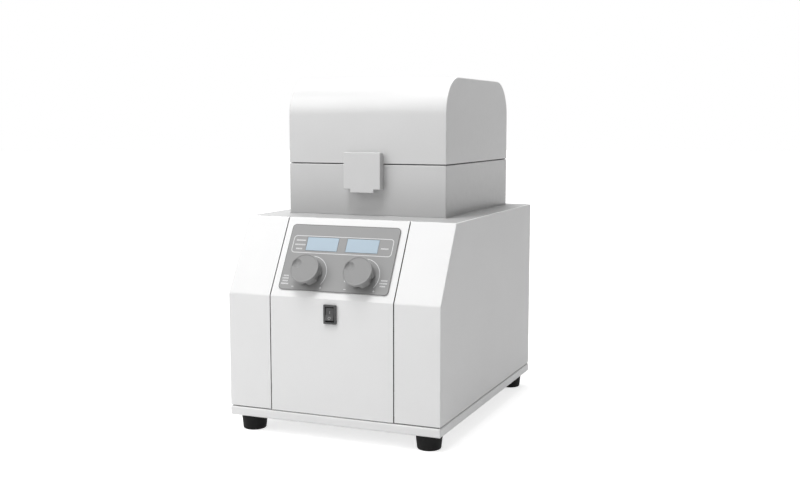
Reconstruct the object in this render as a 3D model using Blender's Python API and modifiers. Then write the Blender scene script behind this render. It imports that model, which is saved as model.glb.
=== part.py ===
"""Bench tissue grinder: tubes in a rack are shaken up and down under an arched lid.

Metres, +Z up, +X to the right of someone facing the machine, whose front looks towards -Y.
The origin lies on the bench top under the middle of the machine. A motor in the base turns a
flywheel, a connecting rod lifts a crosshead, and a shaft carries the platform in the chamber.
"""

import math

import bmesh
import bpy

# Clearances, edge sizes and how finely round shapes are drawn.
FIT = 0.0003
MERGE = 0.00002
OVERRUN = 0.002
FINE_EDGE = 0.0006
ROUND_STEPS = 24
SMALL_STEPS = 16
ARC_STEPS = 8

# Base plate, with the low curb that the housing is screwed to.
BASE_WIDTH = 0.254
BASE_DEPTH = 0.340
PLATE_THICKNESS = 0.010
CURB_HEIGHT = 0.008
CURB_WALL = 0.004
PLATE_EDGE = 0.0012

# Tapered rubber feet.
FOOT_HEIGHT = 0.018
FOOT_TOP_RADIUS = 0.015
FOOT_BOTTOM_RADIUS = 0.0125
FOOT_EDGE = 0.002
FOOT_INSET = 0.020

# Sheet housing, measured from the underside of the plate.
SHEET = 0.002
HOUSING_SEAM = 0.0010
HOUSING_HEIGHT = 0.223
BEND_HEIGHT = 0.140
SLOPE_SETBACK = 0.048
HOUSING_EDGE = 0.0014
PANEL_WIDTH = 0.148
PANEL_SEAM = 0.0011
DRIVE_OPENING_SIDE_MARGIN = 0.023
DRIVE_OPENING_END_MARGIN = 0.030

# Control panel on the slope: sizes along the slope start at the bend.
OVERLAY_WIDTH = 0.1315
OVERLAY_HEIGHT = 0.0790
OVERLAY_START = 0.0080
OVERLAY_THICKNESS = 0.0010
OVERLAY_CORNER = 0.0046
DISPLAY_WIDTH = 0.0381
DISPLAY_HEIGHT = 0.0160
DISPLAY_GAP = 0.0105
DISPLAY_CENTRE = 0.0636
DISPLAY_SHOULDER = 0.0020
KNOB_INSET = 0.03415
KNOB_CENTRE = 0.0285

# Knobs, heights from the panel's outer face.
KNOB_RADIUS = 0.0170
KNOB_HEIGHT = 0.0165
KNOB_CAP = 0.0042
KNOB_LIFT = 0.0033
KNOB_EDGE = 0.0008
KNOB_LIP = 0.0012
KNOB_FLUTES = 5
FLUTE_RADIUS = 0.0064
FLUTE_REACH = 0.0200
FLUTE_START = math.radians(-19.5)
DIMPLE_RADIUS = 0.0052
DIMPLE_DEPTH = 0.0018
DIMPLE_REACH = 0.0110
DIMPLE_ANGLE = math.radians(154)
KNOB_WELL_RADIUS = 0.0072
KNOB_WELL_DEPTH = 0.0060

# Rotary encoders and the board behind the panel.
ENCODER_SIDE = 0.013
ENCODER_SHAFT_RADIUS = 0.0030
BUSHING_RADIUS = 0.0044
BUSHING_HEIGHT = 0.0050
SHAFT_INSET = 0.0050
BOARD_DEPTH = 0.0104
BOARD_THICKNESS = 0.0016
BOARD_MARGIN = 0.006
STANDOFF_RADIUS = 0.003

# Rocker switch.
SWITCH_BEND_GAP = 0.0057
BEZEL_WIDTH = 0.0150
BEZEL_HEIGHT = 0.0210
BEZEL_PROUD = 0.0022
BEZEL_RIM = 0.0022
SWITCH_BODY_INSET = 0.0011
SWITCH_BODY_DEPTH = 0.0150
SWITCH_WALL = 0.0010
TERMINAL_WIDTH = 0.0048
TERMINAL_THICKNESS = 0.0008
TERMINAL_LENGTH = 0.0070
ROCKER_TILT = math.radians(10)
ROCKER_CREST = 0.0030
ROCKER_DIP = 0.0018
ROCKER_BACK = 0.0030

# Head: chamber walls below, arched lid above, a seam between them.
HEAD_WIDTH = 0.196
HEAD_FRONT_INSET = 0.094
HEAD_REAR_INSET = 0.016
SEAM_HEIGHT = 0.0595
LID_SEAM = 0.0011
LID_HEIGHT = 0.0980
LID_ARCH_RADIUS = 0.043
HEAD_WALL = 0.004
HEAD_EDGE = 0.0012
RIM_WIDTH = 0.009
RIM_THICKNESS = 0.003
SEAL_WIDTH = 0.005
SEAL_INSET = 0.0012
LINER_THICKNESS = 0.006
LINER_LIFT = 0.003

# Rear hinges.
HINGE_INSET = 0.038
HINGE_WIDTH = 0.048
HINGE_LEAF_HEIGHT = 0.026
HINGE_LEAF = 0.002
KNUCKLE_RADIUS = 0.0045
KNUCKLE_STANDOFF = 0.0005
KNUCKLE_CLEARANCE = 0.0005
HINGE_PIN_RADIUS = 0.002

# Front latch: a hollow lever on the lid, whose magnet holds a steel keeper on the chamber.
LATCH_WIDTH = 0.0455
LATCH_HEIGHT = 0.0420
LATCH_DEPTH = 0.0106
LATCH_ABOVE_SEAM = 0.0134
LATCH_WALL = 0.0018
LATCH_GAP = 0.0005
TAB_WIDTH = 0.0287
TAB_DROP = 0.0035
TAB_THICKNESS = 0.0026
LATCH_PIN_RADIUS = 0.0010
LATCH_BORE_CLEARANCE = 0.0003
LUG_THICKNESS = 0.0025
LUG_RADIUS = 0.0028
LUG_SPACING = 0.030
EAR_THICKNESS = 0.0020
EAR_SPACING = 0.022
EAR_RADIUS = 0.0026
BRACKET_PLATE = 0.0015
KEEPER_WIDTH = 0.028
KEEPER_HEIGHT = 0.014
KEEPER_THICKNESS = 0.0015
MAGNET_WIDTH = 0.024
MAGNET_HEIGHT = 0.010
MAGNET_THICKNESS = 0.003
MAGNET_BELOW_SEAM = 0.0190
MAGNET_SEAT_RIM = 0.001

# Chamber floor and the bearings in it.
DECK_THICKNESS = 0.004
DECK_CLEARANCE = 0.0005
BEARING_RADIUS = 0.015
BEARING_FLANGE_RADIUS = 0.026
BEARING_FLANGE = 0.006
BEARING_DROP = 0.027
BUSH_RADIUS = 0.009
BUSH_FLANGE_RADIUS = 0.014
BUSH_FLANGE = 0.005
BUSH_DROP = 0.019

# Shaken carriage.
STROKE = 0.024
PLATFORM_WIDTH = 0.140
PLATFORM_DEPTH = 0.100
PLATFORM_THICKNESS = 0.008
PLATFORM_EDGE = 0.0020
PLATFORM_CLEARANCE = 0.0114
DRIVE_SHAFT_RADIUS = 0.008
GUIDE_ROD_RADIUS = 0.005
GUIDE_SPACING = 0.100
GUIDE_OVERHANG = 0.003
CROSSHEAD_WIDTH = 0.034
CROSSHEAD_DEPTH = 0.030
CROSSHEAD_HEIGHT = 0.030
CROSSHEAD_CLEARANCE = 0.004
CROSSHEAD_EDGE = 0.0015
ROD_SLOT_CLEARANCE = 0.0004
WRIST_PIN_RADIUS = 0.004
WRIST_PIN_DROP = 0.020
ROD_THICKNESS = 0.010
ROD_SMALL_RADIUS = 0.009
ROD_BIG_RADIUS = 0.013
CRANK_PIN_RADIUS = 0.006
CRANK_PIN_LENGTH = 0.0150

# Tube rack, clamp plate and clamp knob on the platform's stud.
RACK_WIDTH = 0.124
RACK_DEPTH = 0.084
RACK_HEIGHT = 0.044
RACK_EDGE = 0.0020
WELL_COLUMNS = 4
WELL_ROWS = 2
WELL_RADIUS = 0.0083
WELL_PITCH_X = 0.028
WELL_PITCH_Y = 0.044
CLAMP_PLATE_THICKNESS = 0.006
STUD_RADIUS = 0.005
STUD_CLEARANCE = 0.0005
STUD_REACH = 0.008
CLAMP_KNOB_RADIUS = 0.024
CLAMP_KNOB_HEIGHT = 0.021
CLAMP_HUB_RADIUS = 0.012
CLAMP_HUB_HEIGHT = 0.005
CLAMP_LOBES = 6
CLAMP_NOTCH_RADIUS = 0.0085
CLAMP_NOTCH_BITE = 0.0035

# Motor, bracket and flywheel.
MOTOR_RADIUS = 0.045
MOTOR_LENGTH = 0.118
MOTOR_CAP_LENGTH = 0.014
MOTOR_CAP_STEP = 0.0025
MOTOR_EDGE = 0.003
MOTOR_GROUND_GAP = 0.017
MOTOR_BORE_DEPTH = 0.012
MOTOR_SHAFT_RADIUS = 0.007
COOLING_GROOVES = 4
GROOVE_WIDTH = 0.003
GROOVE_DEPTH = 0.0020
BRACKET_SIDE_CLEARANCE = 0.003
BRACKET_THICKNESS = 0.008
BRACKET_BORE_RADIUS = 0.012
BRACKET_FOOT_DEPTH = 0.058
BRACKET_TOP_MARGIN = 0.005
GUSSET_THICKNESS = 0.004
BRACKET_FLYWHEEL_GAP = 0.005
FLYWHEEL_RADIUS = 0.040
FLYWHEEL_THICKNESS = 0.012
FLYWHEEL_RIM = 0.010
FLYWHEEL_HUB_RADIUS = 0.014
FLYWHEEL_RECESS = 0.0035
FLYWHEEL_HOLES = 6
FLYWHEEL_HOLE_RADIUS = 0.005

# Power supply and drive board on the plate.
SUPPLY_WIDTH = 0.056
SUPPLY_DEPTH = 0.105
SUPPLY_HEIGHT = 0.040
SUPPLY_EDGE = 0.0010
SUPPLY_SLOTS = 7
SUPPLY_SLOT_WIDTH = 0.003
SUPPLY_SLOT_DEPTH = 0.0015
SUPPLY_SLOT_SHARE = 0.6
ELECTRONICS_SIDE_GAP = 0.010
ELECTRONICS_REAR_GAP = 0.024
DRIVE_BOARD_WIDTH = 0.052
DRIVE_BOARD_DEPTH = 0.100
DRIVE_BOARD_LIFT = 0.010
CAPACITOR_RADIUS = 0.008
CAPACITOR_HEIGHT = 0.020
HEAT_SINK_WIDTH = 0.040
HEAT_SINK_DEPTH = 0.030
HEAT_SINK_BASE = 0.004
HEAT_SINK_HEIGHT = 0.022
HEAT_SINK_FINS = 5
FIN_THICKNESS = 0.002

# Rear panel with the fan and the mains inlet, placed from the panel's edges.
FAN_SIDE = 0.060
FAN_DEPTH = 0.015
FAN_BORE_RADIUS = 0.028
FAN_EDGE_GAP = 0.030
FAN_TOP_GAP = 0.040
FAN_HUB_RADIUS = 0.012
FAN_HUB_THICKNESS = 0.003
FAN_ARM_WIDTH = 0.004
FAN_ARMS = 4
FAN_BLADES = 7
FAN_BLADE_THICKNESS = 0.0016
FAN_BLADE_PITCH = math.radians(38)
FAN_BLADE_CHORD_SHARE = 0.85
FAN_ROOT_SHARE = 0.8
FAN_ARM_DEPTH_SHARE = 0.8
FAN_TIP_CLEARANCE = 0.0015
FAN_AXLE_RADIUS = 0.0015
ROTOR_DEPTH = 0.0100
GRILLE_SLOT = 0.0035
GRILLE_PITCH = 0.0070
GRILLE_SLOTS = 7
INLET_EDGE_GAP = 0.044
INLET_HEIGHT_ABOVE_PLATE = 0.050
INLET_FLANGE_WIDTH = 0.050
INLET_FLANGE_HEIGHT = 0.026
INLET_FLANGE = 0.0030
INLET_CORNER = 0.003
INLET_BODY_WIDTH = 0.027
INLET_BODY_HEIGHT = 0.0195
INLET_BODY_DEPTH = 0.018
INLET_WALL = 0.0014
INLET_FLOOR = 0.003
INLET_CHAMFER = 0.005
INLET_PIN_WIDTH = 0.002
INLET_PIN_HEIGHT = 0.004
INLET_PIN_LENGTH = 0.011
INLET_PIN_SPACING = 0.014
INLET_EARTH_RISE = 0.0035

# Levels and planes that several pieces share.
PLATE_TOP = FOOT_HEIGHT + PLATE_THICKNESS
HOUSING_BOTTOM = PLATE_TOP + HOUSING_SEAM
BEND_Z = FOOT_HEIGHT + BEND_HEIGHT
HOUSING_TOP = FOOT_HEIGHT + HOUSING_HEIGHT
FRONT_Y = -BASE_DEPTH / 2
REAR_Y = BASE_DEPTH / 2
SLOPE_TOP_Y = FRONT_Y + SLOPE_SETBACK
KNOB_X = OVERLAY_WIDTH / 2 - KNOB_INSET
SLOPE_LEAN = math.atan2(SLOPE_SETBACK, HOUSING_TOP - BEND_Z)
HEAD_FRONT_Y = FRONT_Y + HEAD_FRONT_INSET
HEAD_REAR_Y = REAR_Y - HEAD_REAR_INSET
HEAD_DEPTH = HEAD_REAR_Y - HEAD_FRONT_Y
HEAD_Y = (HEAD_FRONT_Y + HEAD_REAR_Y) / 2
SEAM_Z = HOUSING_TOP + SEAM_HEIGHT
CHAMBER_TOP = SEAM_Z - LID_SEAM / 2
LID_BOTTOM = SEAM_Z + LID_SEAM / 2
LID_TOP = SEAM_Z + LID_HEIGHT
DECK_BOTTOM = HOUSING_TOP + FIT
DECK_TOP = DECK_BOTTOM + DECK_THICKNESS
PLATFORM_BOTTOM = DECK_TOP + FIT + BEARING_FLANGE + PLATFORM_CLEARANCE
PLATFORM_TOP = PLATFORM_BOTTOM + PLATFORM_THICKNESS
BEARING_BOTTOM = DECK_TOP - BEARING_DROP
CROSSHEAD_TOP = BEARING_BOTTOM - STROKE - CROSSHEAD_CLEARANCE
WRIST_Z = CROSSHEAD_TOP - WRIST_PIN_DROP
MOTOR_Z = PLATE_TOP + MOTOR_GROUND_GAP + MOTOR_RADIUS
CRANK_PIN_Z = MOTOR_Z - STROKE / 2
FLYWHEEL_BACK_Y = HEAD_Y - CRANK_PIN_LENGTH / 2 - FIT
FLYWHEEL_FRONT_Y = FLYWHEEL_BACK_Y - FLYWHEEL_THICKNESS
BRACKET_BACK_Y = FLYWHEEL_FRONT_Y - BRACKET_FLYWHEEL_GAP
BRACKET_FRONT_Y = BRACKET_BACK_Y - BRACKET_THICKNESS
MOTOR_BACK_Y = BRACKET_FRONT_Y - FIT
HINGE_X = HEAD_WIDTH / 2 - HINGE_INSET
HINGE_Y = HEAD_REAR_Y + KNUCKLE_STANDOFF + KNUCKLE_RADIUS
LATCH_PIVOT_Y = HEAD_FRONT_Y - LATCH_DEPTH / 2
LATCH_TOP = SEAM_Z + LATCH_ABOVE_SEAM
LATCH_HEEL = LATCH_DEPTH / 2 - LATCH_GAP
LATCH_PIVOT_Z = LATCH_TOP - LATCH_HEEL
LATCH_FRONT_Y = HEAD_FRONT_Y - LATCH_GAP - LATCH_DEPTH
MAGNET_Z = SEAM_Z - MAGNET_BELOW_SEAM
MAGNET_BACK_Y = HEAD_FRONT_Y - FIT - KEEPER_THICKNESS - FIT
MAGNET_FRONT_Y = MAGNET_BACK_Y - MAGNET_THICKNESS
RACK_BOTTOM = PLATFORM_TOP + FIT
CLAMP_PLATE_BOTTOM = RACK_BOTTOM + RACK_HEIGHT + FIT
CLAMP_KNOB_BOTTOM = CLAMP_PLATE_BOTTOM + CLAMP_PLATE_THICKNESS + FIT
STUD_TOP = CLAMP_KNOB_BOTTOM + CLAMP_KNOB_HEIGHT + STUD_REACH

# How a drawing plane, or an upright turned shape, is swung to face the way it is needed.
PLANE_TURN = {
    "XY": (0, 0, 0),
    "XZ": (math.pi / 2, 0, 0),
    "YZ": (math.pi / 2, 0, math.pi / 2),
}
AXIS_TURN = {
    "X": (0, math.pi / 2, 0),
    "Y": (-math.pi / 2, 0, 0),
    "Z": (0, 0, 0),
}


def clear_scene():
    """Remove every object that the open file holds."""
    for thing in list(bpy.data.objects):
        bpy.data.objects.remove(thing, do_unlink=True)


def new_collection(name):
    """Add an empty collection to the scene."""
    group = bpy.data.collections.new(name)
    bpy.context.scene.collection.children.link(group)
    return group


clear_scene()
PARTS = new_collection("tissue_grinder")
CUTTERS = new_collection("cutters")


def make_material(name, colour, roughness, metallic=0.0):
    """A Principled material with one colour, for every piece made of that stuff."""
    stuff = bpy.data.materials.new(name)
    stuff.use_nodes = True
    shader = stuff.node_tree.nodes["Principled BSDF"]
    shader.inputs["Base Color"].default_value = (*colour, 1.0)
    shader.inputs["Roughness"].default_value = roughness
    shader.inputs["Metallic"].default_value = metallic
    stuff.diffuse_color = (*colour, 1.0)
    return stuff


WHITE_PAINT = make_material("white_paint", (0.86, 0.86, 0.86), 0.45)
HEAD_PAINT = make_material("head_paint", (0.80, 0.80, 0.80), 0.50)
OVERLAY_GREY = make_material("overlay_grey", (0.36, 0.36, 0.36), 0.60)
KNOB_GREY = make_material("knob_grey", (0.34, 0.34, 0.34), 0.50)
DISPLAY_BLUE = make_material("display_blue", (0.52, 0.66, 0.78), 0.20)
SWITCH_BLACK = make_material("switch_black", (0.05, 0.05, 0.05), 0.40)
FOOT_RUBBER = make_material("foot_rubber", (0.02, 0.02, 0.02), 0.70)
SEAL_RUBBER = make_material("seal_rubber", (0.04, 0.04, 0.04), 0.80)
LINER_FOAM = make_material("liner_foam", (0.10, 0.10, 0.11), 0.95)
STEEL = make_material("steel", (0.62, 0.62, 0.64), 0.30, 1.0)
CAST_STEEL = make_material("cast_steel", (0.32, 0.33, 0.35), 0.50, 1.0)
ALUMINIUM = make_material("aluminium", (0.74, 0.75, 0.77), 0.38, 1.0)
BRONZE = make_material("bronze", (0.60, 0.42, 0.22), 0.40, 1.0)
MOTOR_PAINT = make_material("motor_paint", (0.05, 0.05, 0.06), 0.50)
RACK_PLASTIC = make_material("rack_plastic", (0.12, 0.22, 0.45), 0.45)
BOARD_GREEN = make_material("board_green", (0.03, 0.22, 0.09), 0.50)
BLACK_PLASTIC = make_material("black_plastic", (0.03, 0.03, 0.03), 0.50)


def put(thing, at, stuff=None, frame=None):
    """Place an object, give it its material, and hang it on a frame if it has one."""
    thing.location = at
    thing.parent = frame
    if stuff is not None:
        thing.data.materials.clear()
        thing.data.materials.append(stuff)
    return thing


def from_bmesh(name, form):
    """Turn a finished bmesh into an object in the parts collection."""
    mesh = bpy.data.meshes.new(name)
    form.to_mesh(mesh)
    form.free()
    thing = bpy.data.objects.new(name, mesh)
    PARTS.objects.link(thing)
    return thing


def box(name, size, at, stuff=None, frame=None):
    """A cuboid of the given size, centred on its place."""
    form = bmesh.new()
    bmesh.ops.create_cube(form, size=1)
    bmesh.ops.scale(form, vec=size, verts=form.verts)
    return put(from_bmesh(name, form), at, stuff, frame)


def span_box(name, low, high, stuff=None, frame=None):
    """A cuboid given by its lowest and highest corners."""
    size = [b - a for a, b in zip(low, high)]
    middle = [(a + b) / 2 for a, b in zip(low, high)]
    return box(name, size, middle, stuff, frame)


def rod(name, radius, length, axis, at, stuff=None, frame=None, steps=ROUND_STEPS):
    """A plain round bar centred on its place, along one axis."""
    form = bmesh.new()
    bmesh.ops.create_cone(
        form, cap_ends=True, segments=steps, radius1=radius, radius2=radius, depth=length
    )
    bar = from_bmesh(name, form)
    bar.rotation_euler = AXIS_TURN[axis]
    bar.data.shade_smooth()
    bar.data.set_sharp_from_angle(angle=math.radians(40))
    return put(bar, at, stuff, frame)


def turned(name, profile, axis, at, stuff=None, frame=None, steps=ROUND_STEPS, ring=False):
    """A turned solid: (radius, height) points, spun about the height axis.

    The outer side runs from the top to the bottom. A ring's profile closes on itself, and any
    other profile starts and ends on the axis.
    """
    points = [(radius, 0, height) for radius, height in profile]
    edges = [(i, i + 1) for i in range(len(points) - 1)]
    if ring:
        edges.append((len(points) - 1, 0))
    mesh = bpy.data.meshes.new(name)
    mesh.from_pydata(points, edges, [])
    thing = bpy.data.objects.new(name, mesh)
    PARTS.objects.link(thing)
    thing.rotation_euler = AXIS_TURN[axis]
    spin = thing.modifiers.new("spin", "SCREW")
    spin.steps = steps
    spin.render_steps = steps
    spin.use_merge_vertices = True
    spin.merge_threshold = MERGE
    spin.use_smooth_shade = True
    return put(thing, at, stuff, frame)


def prism(name, loops, span, plane, at, stuff=None, frame=None):
    """A flat outline with its holes, as filled 2D splines, given a thickness and made a mesh."""
    drawing = bpy.data.curves.new(name + "_drawing", "CURVE")
    drawing.dimensions = "2D"
    drawing.fill_mode = "BOTH"
    drawing.extrude = span / 2
    for loop in loops:
        spline = drawing.splines.new("POLY")
        spline.points.add(len(loop) - 1)
        for point, (across, along) in zip(spline.points, loop):
            point.co = (across, along, 0, 1)
        spline.use_cyclic_u = True
    sketch = bpy.data.objects.new(name + "_drawing", drawing)
    PARTS.objects.link(sketch)
    sketch.rotation_euler = PLANE_TURN[plane]
    depsgraph = bpy.context.evaluated_depsgraph_get()
    mesh = bpy.data.meshes.new_from_object(sketch.evaluated_get(depsgraph))
    form = bmesh.new()
    form.from_mesh(mesh)
    bmesh.ops.remove_doubles(form, verts=form.verts, dist=MERGE)
    bmesh.ops.dissolve_limit(
        form, angle_limit=math.radians(1), verts=form.verts, edges=form.edges
    )
    bmesh.ops.recalc_face_normals(form, faces=form.faces)
    form.to_mesh(mesh)
    form.free()
    thing = bpy.data.objects.new(name, mesh)
    PARTS.objects.link(thing)
    thing.matrix_world = sketch.matrix_world
    bpy.data.objects.remove(sketch)
    return put(thing, at, stuff, frame)


def rectangle(width, height, middle=(0, 0)):
    """The four corners of a rectangle, anticlockwise."""
    across, up = middle
    return [
        (across - width / 2, up - height / 2),
        (across + width / 2, up - height / 2),
        (across + width / 2, up + height / 2),
        (across - width / 2, up + height / 2),
    ]


def arc(radius, start, end, steps, middle=(0, 0)):
    """Points along a circular arc from one angle to another, both ends included."""
    across, up = middle
    turns = [start + (end - start) * i / steps for i in range(steps + 1)]
    return [(across + radius * math.cos(a), up + radius * math.sin(a)) for a in turns]


def circle(radius, middle=(0, 0), steps=ROUND_STEPS):
    """Points round a full circle."""
    return arc(radius, 0, 2 * math.pi, steps, middle)[:-1]


def rounded_rectangle(width, height, radius, middle=(0, 0), steps=4):
    """A rectangle whose corners are quarter arcs."""
    across, up = middle
    x = width / 2 - radius
    y = height / 2 - radius
    centres = [(x, y), (-x, y), (-x, -y), (x, -y)]
    loop = []
    for i, (cx, cy) in enumerate(centres):
        start = i * math.pi / 2
        loop += arc(radius, start, start + math.pi / 2, steps, (across + cx, up + cy))
    return loop


def soften(thing, width, segments=2, angle=30):
    """Round the edges that turn by more than an angle."""
    bevel = thing.modifiers.new("edges", "BEVEL")
    bevel.width = width
    bevel.segments = segments
    bevel.limit_method = "ANGLE"
    bevel.angle_limit = math.radians(angle)
    return thing


def combine(thing, operation, tools):
    """Apply each tool to a piece by an exact Boolean, and keep the tool as a guide."""
    for tool in tools:
        step = thing.modifiers.new(tool.name, "BOOLEAN")
        step.operation = operation
        step.solver = "EXACT"
        step.object = tool
        tool.hide_render = True
        tool.display_type = "WIRE"
        if tool.name in PARTS.objects:
            PARTS.objects.unlink(tool)
            CUTTERS.objects.link(tool)
    return thing


def cut(thing, *tools):
    """Take the tools' shapes out of a piece."""
    return combine(thing, "DIFFERENCE", tools)


def fuse(thing, *tools):
    """Add the tools' shapes to a piece."""
    return combine(thing, "UNION", tools)


def frame_at(name, at, turn=(0, 0, 0)):
    """An empty that carries pieces drawn in its own directions."""
    empty = bpy.data.objects.new(name, None)
    empty.location = at
    empty.rotation_euler = turn
    PARTS.objects.link(empty)
    return empty


def hang(frame, *pieces):
    """Parent pieces that are placed in world positions to an unturned frame."""
    for piece in pieces:
        piece.parent = frame
        piece.location = piece.location - frame.location


def slope_y(z, depth):
    """The y of a plane parallel to the front slope, at a height and a depth behind it."""
    rise = (z - BEND_Z) * math.tan(SLOPE_LEAN)
    return FRONT_Y + rise + depth / math.cos(SLOPE_LEAN)


def bend_z(depth):
    """The height at which the bend lies on a surface at a depth behind the front."""
    return BEND_Z + (depth - depth / math.cos(SLOPE_LEAN)) / math.tan(SLOPE_LEAN)


def wedge_outline(depth, bottom, top, rear):
    """The housing's side profile, drawn in by a depth from the front and the slope."""
    return [
        (FRONT_Y + depth, bottom),
        (rear, bottom),
        (rear, top),
        (slope_y(top, depth), top),
        (FRONT_Y + depth, bend_z(depth)),
    ]


def make_base_plate():
    """Solid plate with a rounded edge, and a low curb just inside the housing's walls."""
    plate = span_box(
        "base_plate",
        (-BASE_WIDTH / 2, FRONT_Y, FOOT_HEIGHT),
        (BASE_WIDTH / 2, REAR_Y, PLATE_TOP),
        WHITE_PAINT,
    )
    soften(plate, PLATE_EDGE)
    inset = SHEET + FIT
    outer = rectangle(BASE_WIDTH - 2 * inset, BASE_DEPTH - 2 * inset)
    within = inset + CURB_WALL
    inner = rectangle(BASE_WIDTH - 2 * within, BASE_DEPTH - 2 * within)
    sunk = PLATE_THICKNESS / 2
    curb = prism(
        "curb_shape",
        [outer, inner],
        CURB_HEIGHT + sunk,
        "XY",
        (0, 0, PLATE_TOP + (CURB_HEIGHT - sunk) / 2),
    )
    return fuse(plate, curb)


def make_feet():
    """Four tapered rubber feet under the plate's corners."""
    top = FOOT_HEIGHT - FIT
    profile = [
        (0, top),
        (FOOT_TOP_RADIUS, top),
        (FOOT_BOTTOM_RADIUS + FOOT_EDGE / 4, FOOT_EDGE),
        (FOOT_BOTTOM_RADIUS - FOOT_EDGE / 4, FOOT_EDGE / 4),
        (FOOT_BOTTOM_RADIUS - FOOT_EDGE, 0),
        (0, 0),
    ]
    x = BASE_WIDTH / 2 - FOOT_INSET
    y = BASE_DEPTH / 2 - FOOT_INSET
    corners = {
        "foot_front_left": (-x, -y, 0),
        "foot_front_right": (x, -y, 0),
        "foot_rear_left": (-x, y, 0),
        "foot_rear_right": (x, y, 0),
    }
    for name, at in corners.items():
        turned(name, profile, "Z", at, FOOT_RUBBER)


def make_housing():
    """Folded sheet shell: two sides, the top and the front corners, open below and behind."""
    outline = wedge_outline(0, HOUSING_BOTTOM, HOUSING_TOP, REAR_Y)
    shell = prism("main_housing", [outline], BASE_WIDTH, "YZ", (0, 0, 0), WHITE_PAINT)
    soften(shell, HOUSING_EDGE, segments=2)
    hollow = prism(
        "housing_hollow",
        [wedge_outline(SHEET, HOUSING_BOTTOM - OVERRUN, HOUSING_TOP - SHEET, REAR_Y + OVERRUN)],
        BASE_WIDTH - 2 * SHEET,
        "YZ",
        (0, 0, 0),
    )
    low = HOUSING_BOTTOM - OVERRUN
    high = HOUSING_TOP + OVERRUN
    deep = SHEET + PANEL_SEAM / 2
    panel_opening = prism(
        "panel_opening",
        [
            [
                (FRONT_Y - OVERRUN, low),
                (FRONT_Y + deep, low),
                (FRONT_Y + deep, bend_z(deep)),
                (slope_y(high, deep), high),
                (slope_y(high, -OVERRUN), high),
                (FRONT_Y - OVERRUN, bend_z(-OVERRUN)),
            ]
        ],
        PANEL_WIDTH + PANEL_SEAM,
        "YZ",
        (0, 0, 0),
    )
    drive_opening = box(
        "drive_opening",
        (
            HEAD_WIDTH - 2 * DRIVE_OPENING_SIDE_MARGIN,
            HEAD_DEPTH - 2 * DRIVE_OPENING_END_MARGIN,
            2 * (SHEET + OVERRUN),
        ),
        (0, HEAD_Y, HOUSING_TOP),
    )
    return cut(shell, hollow, panel_opening, drive_opening)


def make_front_panel(front_frame, slope_frame):
    """Bent sheet between the two seams, with holes for the switch, knobs and displays."""
    bottom = HOUSING_BOTTOM
    top = HOUSING_TOP
    outline = [
        (FRONT_Y, bottom),
        (FRONT_Y + SHEET, bottom),
        (FRONT_Y + SHEET, bend_z(SHEET)),
        (slope_y(top, SHEET), top),
        (SLOPE_TOP_Y, top),
        (FRONT_Y, BEND_Z),
    ]
    panel = prism(
        "front_panel", [outline], PANEL_WIDTH - PANEL_SEAM, "YZ", (0, 0, 0), WHITE_PAINT
    )
    through = 2 * (SHEET + OVERRUN)
    switch_hole = box(
        "switch_hole",
        (
            BEZEL_WIDTH - 2 * SWITCH_BODY_INSET + 2 * FIT,
            BEZEL_HEIGHT - 2 * SWITCH_BODY_INSET + 2 * FIT,
            through,
        ),
        (0, 0, 0),
        frame=front_frame,
    )
    cut(panel, switch_hole)
    for side, x in (("left", -1), ("right", 1)):
        display_hole = box(
            "display_hole_" + side,
            (DISPLAY_WIDTH + 2 * FIT, DISPLAY_HEIGHT + 2 * FIT, through),
            (x * (DISPLAY_WIDTH + DISPLAY_GAP) / 2, DISPLAY_CENTRE, 0),
            frame=slope_frame,
        )
        knob_hole = rod(
            "knob_hole_" + side,
            BUSHING_RADIUS + FIT,
            through,
            "Z",
            (x * KNOB_X, KNOB_CENTRE, 0),
            frame=slope_frame,
            steps=SMALL_STEPS,
        )
        cut(panel, display_hole, knob_hole)
    return panel


def make_overlay(slope_frame):
    """Printed grey plate on the slope, open over the displays and round the knob bushings."""
    middle = OVERLAY_START + OVERLAY_HEIGHT / 2
    loops = [rounded_rectangle(OVERLAY_WIDTH, OVERLAY_HEIGHT, OVERLAY_CORNER, (0, middle))]
    for x in (-1, 1):
        window = (x * (DISPLAY_WIDTH + DISPLAY_GAP) / 2, DISPLAY_CENTRE)
        loops.append(rectangle(DISPLAY_WIDTH + 2 * FIT, DISPLAY_HEIGHT + 2 * FIT, window))
        knob = (x * KNOB_X, KNOB_CENTRE)
        loops.append(circle(BUSHING_RADIUS + 2 * FIT, knob, SMALL_STEPS))
    height = FIT + OVERLAY_THICKNESS / 2
    return prism(
        "control_overlay", loops, OVERLAY_THICKNESS, "XY", (0, 0, height), OVERLAY_GREY, slope_frame
    )


def make_displays(slope_frame):
    """Two display modules that fill the overlay's windows and stand on the control board."""
    front = FIT + OVERLAY_THICKNESS
    back = -BOARD_DEPTH + FIT
    for side, x in (("left", -1), ("right", 1)):
        middle = x * (DISPLAY_WIDTH + DISPLAY_GAP) / 2
        module = span_box(
            "display_" + side,
            (middle - DISPLAY_WIDTH / 2, DISPLAY_CENTRE - DISPLAY_HEIGHT / 2, back),
            (middle + DISPLAY_WIDTH / 2, DISPLAY_CENTRE + DISPLAY_HEIGHT / 2, front),
            DISPLAY_BLUE,
            slope_frame,
        )
        shoulder = box(
            "display_shoulder_" + side,
            (
                DISPLAY_WIDTH + 2 * DISPLAY_SHOULDER,
                DISPLAY_HEIGHT + 2 * DISPLAY_SHOULDER,
                BOARD_DEPTH - SHEET - 3 * FIT,
            ),
            (middle, DISPLAY_CENTRE, -(BOARD_DEPTH + SHEET) / 2 + FIT / 2),
            frame=slope_frame,
        )
        fuse(module, shoulder)


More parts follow.
